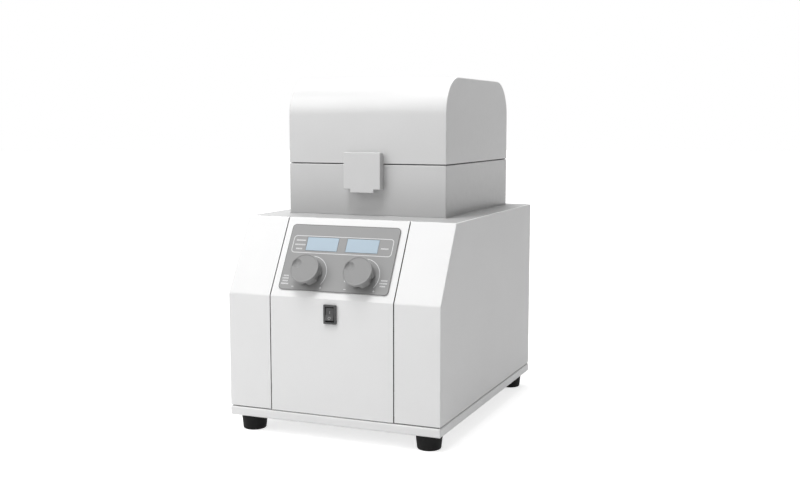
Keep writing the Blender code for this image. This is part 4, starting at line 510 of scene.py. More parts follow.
def foot_profile(height, top, bottom):
    """Half section: recess, flat tread, round lower edge, taper, round top edge."""
    corners = [
        (0.0, FOOT_RECESS_DEPTH),
        (FOOT_RECESS, FOOT_RECESS_DEPTH),
        (FOOT_RECESS, 0.0),
        (bottom, 0.0),
        (top, height),
        (0.0, height),
    ]
    return rounded_turn(corners, FOOT_ROUNDING, steps=5)


for corner in ("front_left", "front_right", "rear_left", "rear_right"):
    foot = "foot_" + corner
    low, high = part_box(foot)
    middle = (low + high) / 2
    shape = foot_profile(high.z, (high.x - low.x) / 2, FOOT_TREAD)
    cup = turned(shape, (middle.x, middle.y, 0.0), UP, steps=64)
    surface(foot + "_cup", [(cup, False, True, ())], rubber, "base", (foot,))
    place = (middle.x, middle.y, FOOT_RECESS_DEPTH)
    screws(foot + "_screw", [place], DOWN, "base", FOOT_SCREW)

# ---------------------------------------------------------------------------
# Housing: one folded steel sheet makes the sides, top and front corners, and a
# bent one the front panel, whose side edges are painted black as painted shade
# in the seams. The top's flat faces are painted grey as painted shade round the
# head. Eight pan-head screws hold the rear panel and its grille.
# Painted shade: the grey of the housing's flat top, standing in for the shade round the head.
DECK_SHADE_GREY = 0.45
SHEET_BEND = 25
BACK = (0, 1, 0)
REAR_Y = 0.170
REAR_SCREWS = [(-0.117, 0.042), (0.0, 0.036), (0.117, 0.042), (-0.117, 0.130)]
REAR_SCREWS += [(0.117, 0.130), (-0.117, 0.229), (0.0, 0.231), (0.117, 0.229)]

deck_shade_paint = sheet_coat("deck_shade_paint", DECK_SHADE_GREY, roughness=0.50)
housing, panel = nodes["main_housing"], nodes["front_panel"]

dress(["main_housing", "front_panel"], white_paint, edge=0.0003, turn=SHEET_BEND)
dress(["rear_panel"], white_paint, edge=0.0)
# Painted shade: the flat top faces are painted grey.
repaint(housing, deck_shade_paint, facing(housing, 2))
# Painted shade: the panel's side edges are painted black in the seams.
repaint(panel, seam_shade_trim, facing(panel, 0))
screws("rear_screws", [(x, REAR_Y, z) for x, z in REAR_SCREWS], BACK, "base")

# ---------------------------------------------------------------------------
# Rear fittings: a mains inlet of black plastic held by two screws, a fan of the
# same plastic held behind the grille by four, and a turned brass earth stud.
INLET_CENTRE = (-0.083, 0.078)
INLET_FACE = 0.1733
INLET_SINK = 0.0016
INLET_SCREWS = 0.0195
INLET_HEAD = 0.0028
FAN_CENTRE = (0.067, 0.171)
FAN_SCREWS = 0.0250
EARTH_CENTRE = (-0.040, 0.078)
EARTH_FLANGE, EARTH_FLANGE_TOP = 0.0045, 0.0008
EARTH_PIN, EARTH_PIN_TOP = 0.0020, 0.0032
EARTH_CHAMFER = 0.0004
PLASTIC_BLACK = (0.022, 0.022, 0.023)

black_plastic = finish("black_plastic", moulded, PLASTIC_BLACK, roughness=0.45, relief=0.00002)
brass_pin = metal("pin_brass", (0.78, 0.60, 0.32), roughness=0.25, relief=0.000003)

dress(["power_inlet"], black_plastic, edge=0.0004)
dress(["fan_frame", "fan_rotor"], black_plastic, edge=0.0003)
x, z = INLET_CENTRE
ears = [(x + way * INLET_SCREWS, INLET_FACE - INLET_SINK, z) for way in (-1, 1)]
screws("inlet_screws", ears, BACK, "base", INLET_HEAD)
x, z = FAN_CENTRE
corners = [(x + a * FAN_SCREWS, REAR_Y, z + b * FAN_SCREWS) for a in (-1, 1) for b in (-1, 1)]
screws("fan_screws", corners, BACK, "base")
x, z = EARTH_CENTRE
stud_profile = [
    (0, 0),
    (EARTH_FLANGE, 0),
    (EARTH_FLANGE, EARTH_FLANGE_TOP),
    (EARTH_PIN, EARTH_FLANGE_TOP),
    (EARTH_PIN, EARTH_PIN_TOP - EARTH_CHAMFER),
    (EARTH_PIN - EARTH_CHAMFER, EARTH_PIN_TOP),
    (0, EARTH_PIN_TOP),
]
stud = turned(stud_profile, (x, REAR_Y, z), BACK, steps=24)
surface("earth_stud", [(stud, False, True, ())], brass_pin, "base")

# ---------------------------------------------------------------------------
# Electronics in the base: a power supply in a galvanised cover, and two green
# boards, one behind the slope and one that drives the motor, with an aluminium
# heat sink and capacitors in dark sleeves.
BOARD_GREEN = (0.020, 0.130, 0.055)
SLEEVE_BLUE = (0.02, 0.03, 0.07)
DRIVE_BOARD_TOP = 0.0400
HEAT_SINK_REAR = 0.105

board_green = finish("board_green", moulded, BOARD_GREEN, roughness=0.35, relief=0.00001)
galvanised = metal("galvanised", (0.60, 0.61, 0.61), roughness=0.38, relief=0.000008)
sink_metal = metal("heat_sink", (0.70, 0.70, 0.71), roughness=0.40, relief=0.000006)
can_sleeve = finish("capacitor_sleeve", moulded, SLEEVE_BLUE, roughness=0.30, relief=0.00001)

dress(["power_supply"], galvanised, edge=0.0003)
dress(["control_board", "drive_board"], board_green, edge=0.0002)
board = nodes["drive_board"]
centres = face_rows(board, "center")
standing = centres[:, 2] > DRIVE_BOARD_TOP
ahead = centres[:, 1] < HEAT_SINK_REAR
repaint(board, sink_metal, standing & ahead)
repaint(board, can_sleeve, standing & ~ahead)

# ---------------------------------------------------------------------------
# Drive: a black painted motor on a cast iron bracket. Its shaft turns a cast
# flywheel, whose ground steel crank pin works the connecting rod and the
# crosshead that lifts the drive shaft.
IRON_GREY = (0.24, 0.245, 0.25)
MOTOR_BLACK = (0.035, 0.036, 0.040)
STEEL_GREY = (0.60, 0.60, 0.61)

sand_cast = layered_recipe("sand cast", fine=420.0, broad=30.0, tint=0.06, shine=0.08, cells=700.0)
iron_feel = {"roughness": 0.50, "relief": 0.00008, "metallic": 0.9}
cast_iron = finish("cast_iron", sand_cast, IRON_GREY, **iron_feel)
motor_paint = finish("motor_paint", powder, MOTOR_BLACK, roughness=0.38, relief=0.00002)
steel = metal("ground_steel", STEEL_GREY, roughness=0.26, relief=0.000004)

dress(["motor"], motor_paint, edge=0.0005)
dress(["motor_bracket", "connecting_rod", "crosshead", "flywheel"], cast_iron, edge=0.0005)
dress(["motor_shaft", "crank_pin", "wrist_pin"], steel, edge=0.0003)

# ---------------------------------------------------------------------------
# Control overlay: a grey plate stuck on the slope, cut out for two displays and
# printed in white with a frame, an arc and two signs for each knob, and rows of
# blocks where words would be. A thin dark line round the plate's edge is
# painted shade along it.
OVERLAY_GREY = 0.32
INK_WHITE = (0.66, 0.66, 0.67)
# Painted shade: the grey of the thin dark line round the overlay's edge.
EDGE_SHADE_GREY = 0.13
FRONT_Y = -0.170
SLOPE_BACK, SLOPE_RISE = 0.048, 0.083
SLOPE_LENGTH = math.hypot(SLOPE_BACK, SLOPE_RISE)
SLOPE_UP = np.array([0.0, SLOPE_BACK, SLOPE_RISE]) / SLOPE_LENGTH
SLOPE_OUT = np.array([0.0, -SLOPE_RISE, SLOPE_BACK]) / SLOPE_LENGTH
BEND = np.array([0.0, FRONT_Y, 0.158])
OVERLAY_TOP = 0.0013
INK = 0.00006
KNOB_X = 0.0316
KNOB_V = 0.0285
FRAME_LEFT, FRAME_RIGHT = -0.0604, 0.0602
FRAME_LOW, FRAME_HIGH = 0.0526, 0.0729
FRAME_CORNER = 0.0038
CORNER_STEPS = 10
LINE = 0.0008
ARC_RADIUS = 0.0203
ARC_ANGLES = np.linspace(math.radians(-38), math.radians(203), 72)
SIGN_REACH = 0.0170
SIGN_DROP = 0.0165
SIGN_SIZE = 0.0026
SIGN_LINE = 0.0008
BLOCK_HEIGHT = 0.0016
BLOCK_WIDTH = 0.0009
BLOCK_PITCH = 0.0013
EDGE_SHADE_WIDTH = 0.0006
EDGE_SHADE_MARGIN = 0.0001
OVERLAY_SIDE = 0.06575
OVERLAY_LOW, OVERLAY_HIGH = 0.0080, 0.0870
OVERLAY_CORNER = 0.0046
LEGENDS = [
    (-0.0512, 0.0674, 0.0118),
    (-0.0513, 0.0621, 0.0130),
    (-0.0516, 0.0572, 0.0078),
    (0.0512, 0.0615, 0.0096),
    (-0.0592, 0.0242, 0.0070),
    (-0.0594, 0.0212, 0.0072),
    (-0.0592, 0.0181, 0.0064),
    (-0.0589, 0.0148, 0.0092),
    (0.0584, 0.0247, 0.0078),
    (0.0581, 0.0214, 0.0088),
    (0.0577, 0.0181, 0.0070),
]


def on_slope(points):
    """World places of (across, up the slope, out from the panel)."""
    points = np.asarray(points, float)
    across = points[..., :1] * np.array([1.0, 0.0, 0.0])
    return BEND + across + points[..., 1:2] * SLOPE_UP + points[..., 2:3] * SLOPE_OUT


def ink_strip(line, width, closed, height=OVERLAY_TOP):
    """A flat strip along a line: at each point the side steps are half the width, square to
    the way the line runs there, and the strip stands an ink film's height."""
    line = np.asarray(line, float)
    ahead = np.roll(line, -1, 0) - np.roll(line, 1, 0)
    if not closed:
        ahead[0] = line[1] - line[0]
        ahead[-1] = line[-1] - line[-2]
    ahead = ahead / np.linalg.norm(ahead, axis=1, keepdims=True)
    side = np.stack([-ahead[:, 1], ahead[:, 0]], 1) * width / 2
    low = np.full((len(line), 1), height - INK)
    high = np.full((len(line), 1), height + INK)
    rows = [
        np.hstack([line - side, low]),
        np.hstack([line - side, high]),
        np.hstack([line + side, high]),
        np.hstack([line + side, low]),
    ]
    return np.stack(rows, 1), closed, True, () if closed else ("first", "last")


def rounded_ring(corners, radii, steps=4):
    """A closed outline with rounded corners: the open line, run from the middle of a side."""
    corners = np.asarray(corners, float)
    radii = [radii] * len(corners) if isinstance(radii, float) else list(radii)
    start = (corners[-1:] + corners[:1]) / 2
    line = rounded_turn(np.concatenate([start, corners, start]), [0, *radii, 0], steps)
    return line[:-1]


def rectangle(left, right, low, high):
    """The corners of a rectangle, in turn."""
    return [(left, low), (right, low), (right, high), (left, high)]


def arc_line(centre, radius, angle):
    """Points of a circle round a centre, at the given angles."""
    return np.stack([centre[0] + radius * np.cos(angle), centre[1] + radius * np.sin(angle)], 1)


def printed(name, lines, ink):
    """Lines of (points, width, whether closed) printed on the overlay as one piece."""
    strips = [ink_strip(*line) for line in lines]
    sheets = [(on_slope(points), *way) for points, *way in strips]
    return surface(name, sheets, ink, "base")


print_feel = {"roughness": 0.55, "relief": 0.00001, "specular_ior_level": 0.25}
overlay_grey = finish("overlay_print", moulded, OVERLAY_GREY, **print_feel)
white_ink = finish("white_ink", moulded, INK_WHITE, roughness=0.45, relief=0.000005)
# Painted shade along the overlay's edge.
overlay_edge_shade_paint = finish("overlay_edge_shade_paint", moulded, EDGE_SHADE_GREY, roughness=0.5, relief=0.000005)

dress(["control_overlay"], overlay_grey, edge=0.0001)

frame_corners = rectangle(FRAME_LEFT, FRAME_RIGHT, FRAME_LOW, FRAME_HIGH)
lines = [(rounded_ring(frame_corners, FRAME_CORNER, CORNER_STEPS), LINE, True)]
v, half = KNOB_V - SIGN_DROP, SIGN_SIZE / 2
for x in (-KNOB_X, KNOB_X):
    minus, plus = x - SIGN_REACH, x + SIGN_REACH
    lines.append((arc_line((x, KNOB_V), ARC_RADIUS, ARC_ANGLES), LINE, False))
    lines.append(([(minus - half, v), (minus + half, v)], SIGN_LINE, False))
    lines.append(([(plus - half, v), (plus + half, v)], SIGN_LINE, False))
    lines.append(([(plus, v - half), (plus, v + half)], SIGN_LINE, False))
for middle, v, width in LEGENDS:
    count = round(width / BLOCK_PITCH)
    for x in middle + (np.arange(count) - (count - 1) / 2) * BLOCK_PITCH:
        ends = [(x - BLOCK_WIDTH / 2, v), (x + BLOCK_WIDTH / 2, v)]
        lines.append((ends, BLOCK_HEIGHT, False))
printed("overlay_marks", lines, white_ink)

# Painted shade: a thin dark line laid round the overlay's edge.
inset = EDGE_SHADE_WIDTH / 2 + EDGE_SHADE_MARGIN
side = OVERLAY_SIDE - inset
edge_corners = rectangle(-side, side, OVERLAY_LOW + inset, OVERLAY_HIGH - inset)
edge_line = rounded_ring(edge_corners, OVERLAY_CORNER - inset, CORNER_STEPS)
printed("overlay_edge_painted_shade", [(edge_line, EDGE_SHADE_WIDTH, True)], overlay_edge_shade_paint)

# ---------------------------------------------------------------------------
# Displays: two pale blue liquid-crystal windows, flush with the overlay, with
# a thin dark rim and the faint squares of their unlit dots.
DISPLAY_BLUE = (0.395, 0.490, 0.570)
DOTS_PER_METRE = 1250.0
DOT_SHADE = 0.02
CLOUDS_PER_METRE = 30.0
CLOUD_SHADE = 0.015

dots, taken, given = new_recipe("display dots", gives=("Colour", "Height"))
checks = add_node(dots, "TexChecker", taken["Vector"], Scale=DOTS_PER_METRE).outputs["Fac"]
cloud = grain(dots, taken, CLOUDS_PER_METRE, detail=2.0)
cloud = spread(dots, cloud, 1 - CLOUD_SHADE, 1 + CLOUD_SHADE)
weave = reckon(dots, "ADD", reckon(dots, "MULTIPLY", checks, DOT_SHADE), 1 - DOT_SHADE / 2)
shade = reckon(dots, "MULTIPLY", cloud, weave)
put_out(dots, given, Colour=tinted(dots, taken["Colour"], shade), Height=checks)
window_feel = {"roughness": 0.30, "relief": 0.000001, "specular_ior_level": 0.3}
display_blue = finish("display_window", dots, DISPLAY_BLUE, **window_feel)

dress(["display_left", "display_right"], display_blue, edge=0.0002)

# ---------------------------------------------------------------------------
# Knobs: moulded grey plastic with a flat cap, a finger dimple at ten o'clock
# and five wide flutes in the skirt. Each sits on an encoder's steel shaft.
KNOB_GREY = 0.28
KNOB_RADIUS = 0.0170
KNOB_TOP = 0.0165
KNOB_CAP = 0.0042
KNOB_FOOT = 0.0033
KNOB_SKIRT = 0.0158
KNOB_EDGE = 0.0005
KNOB_DISH = 0.0005
KNOB_RIM = 0.0009
FLUTES = 5
FLUTE_RADIUS = 0.0064
FLUTE_REACH = 0.0200
FLUTE_START = math.radians(-19.5)
DIMPLE_REACH = 0.0110
DIMPLE_TURN = math.radians(154)
DIMPLE_RADIUS = 0.0054
DIMPLE_DEPTH = 0.0026
DIMPLE_BOWL = 0.9
KNOB_WELL = 0.0072
KNOB_WELL_TOP = 0.0093
KNOB_BORE = 0.0033
KNOB_BORE_TOP = 0.0131
KNOB_STEPS = 192
FACE_RINGS = 28
DISH_RINGS = 5
EDGE_RINGS = 4
SKIRT_RINGS = 4
SKIRT_TOP = 0.0004
SKIRT_ROW = 0.002
SKIRT_ROUND = 0.0006
SKIRT_TUCK = 0.0002

knob_feel = {"roughness": 0.50, "relief": 0.000015, "specular_ior_level": 0.3}
knob_grey = finish("knob_plastic", moulded, KNOB_GREY, **knob_feel)


def knob_points(x):
    """Knob as rings by angles. The cap's face is dished, and rises to a thin rim as the square
    of the share of the way. The face's height is lowered inside the dimple by its depth
    times one less the squared share of its radius, to a power just under one, and the
    skirt's radius is the lesser of the plain skirt and the near side of the closest flute."""
    angle = full_turn(KNOB_STEPS)
    step = 2 * math.pi / FLUTES
    wedge = (angle - FLUTE_START + step / 2) % step - step / 2
    across = FLUTE_RADIUS**2 - (FLUTE_REACH * np.sin(wedge)) ** 2
    near = FLUTE_REACH * np.cos(wedge) - np.sqrt(np.maximum(across, 0))
    near = np.where(across > 0, near, KNOB_RADIUS)
    skirt = np.minimum(KNOB_SKIRT, near)
    even = np.ones_like(angle)
    turn = np.linspace(0, math.pi / 2, EDGE_RINGS + 1)
    cap = KNOB_RADIUS - KNOB_EDGE
    dish = cap - 2 * KNOB_RIM
    rows = [(even * r, KNOB_TOP - KNOB_DISH) for r in np.linspace(0, dish, FACE_RINGS)]
    rise = np.linspace(0, 1, DISH_RINGS + 1)[1:]
    rows += [
        (even * (cap - KNOB_RIM * (2 - t)), KNOB_TOP - KNOB_DISH * (1 - t**2)) for t in rise
    ]
    rows += [(even * (cap - KNOB_RIM / 2), KNOB_TOP), (even * cap, KNOB_TOP)]
    edge = [(KNOB_EDGE * np.sin(t), KNOB_EDGE * (1 - np.cos(t))) for t in turn[1:]]
    rows += [(even * (cap + out), KNOB_TOP - down) for out, down in edge]
    low = KNOB_TOP - KNOB_CAP
    rows += [(even * (cap + out), low + down) for out, down in edge[::-1]]
    rows += [(even * cap, low)]
    rows += [(skirt, low), (skirt, low - SKIRT_TOP)]
    skirt_foot = KNOB_FOOT + SKIRT_ROUND
    rows += [(skirt, h) for h in np.linspace(low - SKIRT_ROW, skirt_foot, SKIRT_RINGS)]
    rows += [(skirt - SKIRT_TUCK, KNOB_FOOT + SKIRT_TUCK)]
    rows += [(skirt - SKIRT_ROUND, KNOB_FOOT)]
    rows += [(even * KNOB_WELL, KNOB_FOOT), (even * KNOB_WELL, KNOB_WELL_TOP)]
    rows += [(even * KNOB_BORE, KNOB_WELL_TOP), (even * KNOB_BORE, KNOB_BORE_TOP)]
    rows += [(even * 0.0, KNOB_BORE_TOP)]
    radius = np.stack([row for row, _ in rows])
    height = np.array([h for _, h in rows])[:, None] * even
    u = radius * np.cos(angle)
    v = radius * np.sin(angle)
    off = (u - DIMPLE_REACH * math.cos(DIMPLE_TURN)) ** 2
    off = off + (v - DIMPLE_REACH * math.sin(DIMPLE_TURN)) ** 2
    bowl = np.maximum(0, 1 - off / DIMPLE_RADIUS**2) ** DIMPLE_BOWL
    height = height - np.where(height > low + KNOB_EDGE, DIMPLE_DEPTH * bowl, 0)
    return on_slope(np.stack([x + u, KNOB_V + v, height], -1))


for side, x in (("left", -KNOB_X), ("right", KNOB_X)):
    knob = "knob_" + side
    sheet = (knob_points(x), False, True, ())
    surface(knob + "_fluted", [sheet], knob_grey, knob, (knob,), crease=32)
dress(["encoder_body_left", "encoder_body_right"], black_plastic, edge=0.0002)
dress(["encoder_shaft_left", "encoder_shaft_right"], steel, edge=0.0003)

# ---------------------------------------------------------------------------
# Power switch: a black rocker in a raised bezel, pressed in at its upper end.
# The rocker is a bent bar with a shallow valley; I and O are inked on it.
SWITCH_BLACK = (0.050, 0.050, 0.051)
SWITCH_MARK = 0.36
SWITCH_Z = 0.1418
ROCKER_TILT = math.radians(10)
ROCKER_HALF = 0.0071
ROCKER_WAIST = 0.00355
ROCKER_CREST = 0.0030
ROCKER_DIP = 0.0018
ROCKER_BACK = -0.0030
ROCKER_SIDE = 0.0050
ROCKER_EDGE = 0.00035
ROCKER_STEPS = 8
SHARPEST = 0.2
ROCKER_RADII = [0.0006, 0.012, 0.0006, 0.0004, 0.0005, 0.0005, 0.0004]
MARK_LIFT = 0.00003
MARK_I = [(0.0, 0.0005), (0.0, 0.0031)]
MARK_I_LINE = 0.0006
MARK_O = arc_line((0.0, -0.0045), 0.0014, full_turn(32))
MARK_O_LINE = 0.0005

switch_black = finish("switch_plastic", moulded, SWITCH_BLACK, roughness=0.40, relief=0.000012)
switch_mark = finish("switch_mark", moulded, SWITCH_MARK, roughness=0.5, relief=0.000004)


def on_switch(points):
    """World places of (across, up, out) on the rocker, which is tipped in at its top."""
    points = np.asarray(points, float)
    up = points[..., 1] * math.cos(ROCKER_TILT) + points[..., 2] * math.sin(ROCKER_TILT)
    out = points[..., 2] * math.cos(ROCKER_TILT) - points[..., 1] * math.sin(ROCKER_TILT)
    return np.stack([points[..., 0], FRONT_Y - out, SWITCH_Z + up], -1)


def drawn_in(outline, step):
    """A closed outline moved inwards by a step, along the mean of each point's two sides, and
    further where the corner is sharp, up to a limit."""
    before = outline - np.roll(outline, 1, 0)
    after = np.roll(outline, -1, 0) - outline
    x, y = outline.T
    way = 1.0 if np.sum(x * np.roll(y, -1) - np.roll(x, -1) * y) > 0 else -1.0
    sides = [side / np.linalg.norm(side, axis=1, keepdims=True) for side in (before, after)]
    normals = [np.stack([-side[:, 1], side[:, 0]], 1) * way for side in sides]
    mean = normals[0] + normals[1]
    share = 1 + np.sum(normals[0] * normals[1], axis=1, keepdims=True)
    return outline + step * mean / np.maximum(share, SHARPEST)


def slab(outline, low, high, edge, steps=3):
    """A closed outline carried from one level to another, with quarter-round edges: at angle t
    the outline is drawn in by edge times one less sine t. Gives (outline point, level)."""
    turn = np.linspace(0, math.pi / 2, steps + 1)
    steps_in = [(edge * (1 - math.sin(t)), edge * (1 - math.cos(t))) for t in turn]
    levels = [(inward, low + up) for inward, up in steps_in]
    levels += [(inward, high - down) for inward, down in steps_in[::-1]]
    rows = []
    for inward, level in levels:
        drawn = drawn_in(outline, inward)
        rows.append(np.hstack([drawn, np.full((len(drawn), 1), level)]))
    return np.stack(rows)


rocker_corners = [
    (ROCKER_HALF, ROCKER_CREST),
    (0.0, ROCKER_DIP),
    (-ROCKER_HALF, ROCKER_CREST),
    (-ROCKER_HALF, 0.0),
    (-ROCKER_WAIST, ROCKER_BACK),
    (ROCKER_WAIST, ROCKER_BACK),
    (ROCKER_HALF, 0.0),
]
rocker_outline = rounded_ring(rocker_corners, ROCKER_RADII, ROCKER_STEPS)
bar = slab(rocker_outline, -ROCKER_SIDE, ROCKER_SIDE, ROCKER_EDGE)
bar = on_switch(np.stack([bar[..., 2], bar[..., 0], bar[..., 1]], -1))
bar_sheet = (bar, False, True, ("first", "last"))
surface("rocker_bar", [bar_sheet], switch_black, "rocker", ("switch_rocker",))


def rocker_ink(line, width, closed):
    """An ink strip laid on the rocker's face, whose height there is the dip plus the rise to
    the crest in proportion to the distance from the middle."""
    points, *way = ink_strip(line, width, closed, 0.0)
    rise = (ROCKER_CREST - ROCKER_DIP) * np.abs(points[..., 1]) / ROCKER_HALF
    points = points + np.stack([rise * 0, rise * 0, rise + ROCKER_DIP + MARK_LIFT], -1)
    return on_switch(points), *way


marks = [rocker_ink(MARK_I, MARK_I_LINE, False), rocker_ink(MARK_O, MARK_O_LINE, True)]
surface("rocker_marks", marks, switch_mark, "rocker")
dress(["switch_housing"], switch_black, edge=0.0003)

# ---------------------------------------------------------------------------
# Grinding chamber: light grey painted walls on a bead of sealant, with a rubber
# seal on the rim. The walls' grey is set darker than the lid's, darker still on
# the sides, and falls towards the foot: painted shade. The stainless floor
# carries the drive shaft's flanged bearing and two bronze guide bushes, all
# screwed down.
# Painted shade: the chamber's grey is set below the lid's, the side faces' lower still, and both
# darken towards the foot.
CHAMBER_SHADE_GREY = 0.59
CHAMBER_FOOT_SHADE = 0.78
SIDE_SHADE_GREY = 0.485
SIDE_FOOT_SHADE = 0.66
SEAL_BLACK = (0.028, 0.028, 0.030)
BEAD_SIZE = 0.0007
BEAD_SINK = 0.0002
DECK_TOP = 0.2453
DECK_SCREWS_X, DECK_SCREWS_Y = 0.084, 0.100
CENTRE_Y = 0.039
FLANGE_TOP = 0.2516
FLANGE_SCREWS = 0.0212
FLANGE_ANGLES = np.radians([45, 135, 225, 315])
SMALL_HEAD = 0.0026


def foot_shade_recipe():
    """The powder coat, with painted shade towards its foot: the tone falls from one at the level
    High to the share Foot at the level Low, along a smooth curve."""
    recipe, taken, given = new_recipe("foot-shaded powder coat", more=("Low", "High", "Foot"))
    like = (taken["Vector"], taken["Colour"], taken["Roughness"])
    coat = add_node(recipe, "Group", *like, recipe=powder).outputs
    level = add_node(recipe, "SeparateXYZ", taken["Vector"]).outputs["Z"]
    fall = ramp(recipe, level, taken["Low"], taken["High"], taken["Foot"], 1.0)
    fall.interpolation_type = "SMOOTHSTEP"
    colour = tinted(recipe, coat["Colour"], fall.outputs[0])
    put_out(recipe, given, Colour=colour, Roughness=coat["Roughness"], Height=coat["Height"])
    return recipe


def head_coat(name, recipe, grey, **sockets):
    """The head's smoother powder coat, under a faint gloss that a part may change."""
    sheen = {"specular_ior_level": 0.35, "coat_weight": 0.5, "coat_roughness": 0.3, **sockets}
    return finish(name, recipe, grey, roughness=0.36, relief=0.000016, **sheen)


shell = nodes["chamber_shell"]
shell_low, shell_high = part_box("chamber_shell")
shell_rise = {"low": shell_low.z, "high": shell_high.z}
# Painted shade: a recipe that darkens a coat towards its foot.
foot_shade = foot_shade_recipe()
chamber_shade_paint = head_coat("chamber_shade_paint", foot_shade, CHAMBER_SHADE_GREY, foot=CHAMBER_FOOT_SHADE, **shell_rise)
side_shade_paint = head_coat("chamber_side_shade_paint", foot_shade, SIDE_SHADE_GREY, foot=SIDE_FOOT_SHADE, **shell_rise)
floor_feel = {"roughness": 0.28, "relief": 0.000005, "stretch": (14, 1, 1)}
stainless = metal("stainless_floor", (0.62, 0.62, 0.63), **floor_feel)
bronze = metal("bronze", (0.62, 0.42, 0.20), roughness=0.30, relief=0.000005)
seal_rubber = finish("seal_rubber", moulded, SEAL_BLACK, roughness=0.6, relief=0.00002)
bead_feel = {"roughness": 0.55, "relief": 0.00001, "specular_ior_level": 0.3}
# The bead takes the deck's painted-shade grey.
sealant = finish("sealant_bead", moulded, DECK_SHADE_GREY, **bead_feel)

dress(["chamber_shell"], chamber_shade_paint, edge=0.0003)
# Painted shade: the chamber's side faces take the darker grey.
repaint(shell, side_shade_paint, facing(shell, 0))


def bead_round(low, high, level, steps=3):
    """A quarter-round bead along a rectangle's foot: at angle t the line stands out from the
    wall by its size times cosine t, and above the level by its size times sine t. Its two
    inner lines lie in the wall."""
    turn = np.linspace(0, math.pi / 2, steps + 1)
    profile = [(BEAD_SIZE * math.cos(t), BEAD_SIZE * math.sin(t)) for t in turn]
    profile += [(-BEAD_SINK, BEAD_SIZE), (-BEAD_SINK, 0.0)]
    rows = []
    for out, up in profile:
        corners = rectangle(low.x - out, high.x + out, low.y - out, high.y + out)
        ring = rounded_ring(corners, 2 * BEAD_SINK + out)
        rows.append(np.hstack([ring, np.full((len(ring), 1), level + up)]))
    return np.stack(rows)


bead = bead_round(shell_low, shell_high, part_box("main_housing")[1].z)
surface("chamber_bead", [(bead, True, True, ())], sealant, "base")
dress(["chamber_seal"], seal_rubber, edge=0.0002)
dress(["chamber_floor"], stainless, edge=0.0003)
dress(["shaft_bearing"], steel, edge=0.0004)
dress(["guide_bush_left", "guide_bush_right"], bronze, edge=0.0004)
flange = arc_line((0.0, CENTRE_Y), FLANGE_SCREWS, FLANGE_ANGLES)
screws("bearing_screws", [(x, y, FLANGE_TOP) for x, y in flange], UP, "base", SMALL_HEAD)
deck_ys = (CENTRE_Y - DECK_SCREWS_Y, CENTRE_Y + DECK_SCREWS_Y)
deck_corners = [(a * DECK_SCREWS_X, y, DECK_TOP) for a in (-1, 1) for y in deck_ys]
screws("deck_screws", deck_corners, UP, "base")

# ---------------------------------------------------------------------------
# Carriage: an aluminium platform on the drive shaft and two guide rods. The
# blue plastic rack stands on it and is held by a plate and a lobed hand knob
# on a threaded stud.
RACK_BLUE = (0.075, 0.160, 0.360)
STUD_RADIUS = 0.0050
STUD_TOP = 0.3509
LOBE_RADIUS = 0.0240
LOBES = 6
LOBE_STEPS = 144
LOBE_BITE = 0.0032
LOBE_FOOT = 0.3219
LOBE_TOP = 0.3429
LOBE_WELL = 0.0100
HUB_RADIUS = 0.0120
HUB_HEIGHT = 0.0050
HUB_EDGE = 0.0005
THREAD_PITCH = 0.0015
THREAD_FOOT = 0.3230
THREAD_END = 0.0006
THREAD_DEPTH = 0.00045
THREAD_LIFT = 0.00005
THREAD_STEPS = 24
RINGS_PER_PITCH = 6

plate_feel = {"roughness": 0.34, "relief": 0.000005, "stretch": (1, 12, 1)}
aluminium = metal("aluminium", (0.74, 0.75, 0.76), **plate_feel)
rack_plastic = finish("rack_plastic", moulded, RACK_BLUE, roughness=0.45, relief=0.00002)

dress(["platform", "clamp_plate"], aluminium, edge=0.0005)
dress(["drive_shaft", "guide_rod_left", "guide_rod_right"], steel, edge=0.0004)
dress(["tube_rack"], rack_plastic, edge=0.0004)
dress(["clamp_stud"], steel, edge=0.0004)


def lobed_knob():
    """Hand knob as rings by angles: the radius falls by the bite times a smooth wave with one
    trough to each lobe, and the wave dies away towards the hub and the middle of the top.
    Each row is a ring's radius, its height and its share of the wave."""
    angle = full_turn(LOBE_STEPS)
    wave = (0.5 + 0.5 * np.cos(LOBES * angle)) ** 2
    under = LOBE_FOOT + HUB_HEIGHT
    rows = [
        (STUD_RADIUS + HUB_EDGE, LOBE_FOOT, 0.0),
        (HUB_RADIUS - HUB_EDGE, LOBE_FOOT, 0.0),
        (HUB_RADIUS, LOBE_FOOT + HUB_EDGE, 0.0),
        (HUB_RADIUS, under - HUB_EDGE, 0.0),
        (HUB_RADIUS + HUB_EDGE, under, 0.1),
        (LOBE_RADIUS - 0.0030, under, 1.0),
        (LOBE_RADIUS - 0.0012, under + 0.0006, 1.0),
        (LOBE_RADIUS, under + 0.0026, 1.0),
        (LOBE_RADIUS, LOBE_TOP - 0.0040, 1.0),
        (LOBE_RADIUS - 0.0006, LOBE_TOP - 0.0020, 1.0),
        (LOBE_RADIUS - 0.0024, LOBE_TOP - 0.0006, 1.0),
        (LOBE_RADIUS - 0.0060, LOBE_TOP, 0.7),
        (LOBE_WELL, LOBE_TOP, 0.0),
        (STUD_RADIUS + 2 * HUB_EDGE, LOBE_TOP, 0.0),
        (STUD_RADIUS + HUB_EDGE, LOBE_TOP - HUB_EDGE, 0.0),
    ]
    radius, height, share = np.array(rows).T[:, :, None]
    radius = radius - LOBE_BITE * share * wave
    height = height + 0 * angle
    return np.stack([radius * np.cos(angle), CENTRE_Y + radius * np.sin(angle), height], -1)


knob, lobes = "clamp_knob", (lobed_knob(), True, True, ())
surface(knob + "_lobed", [lobes], black_plastic, knob, (knob,), crease=40)


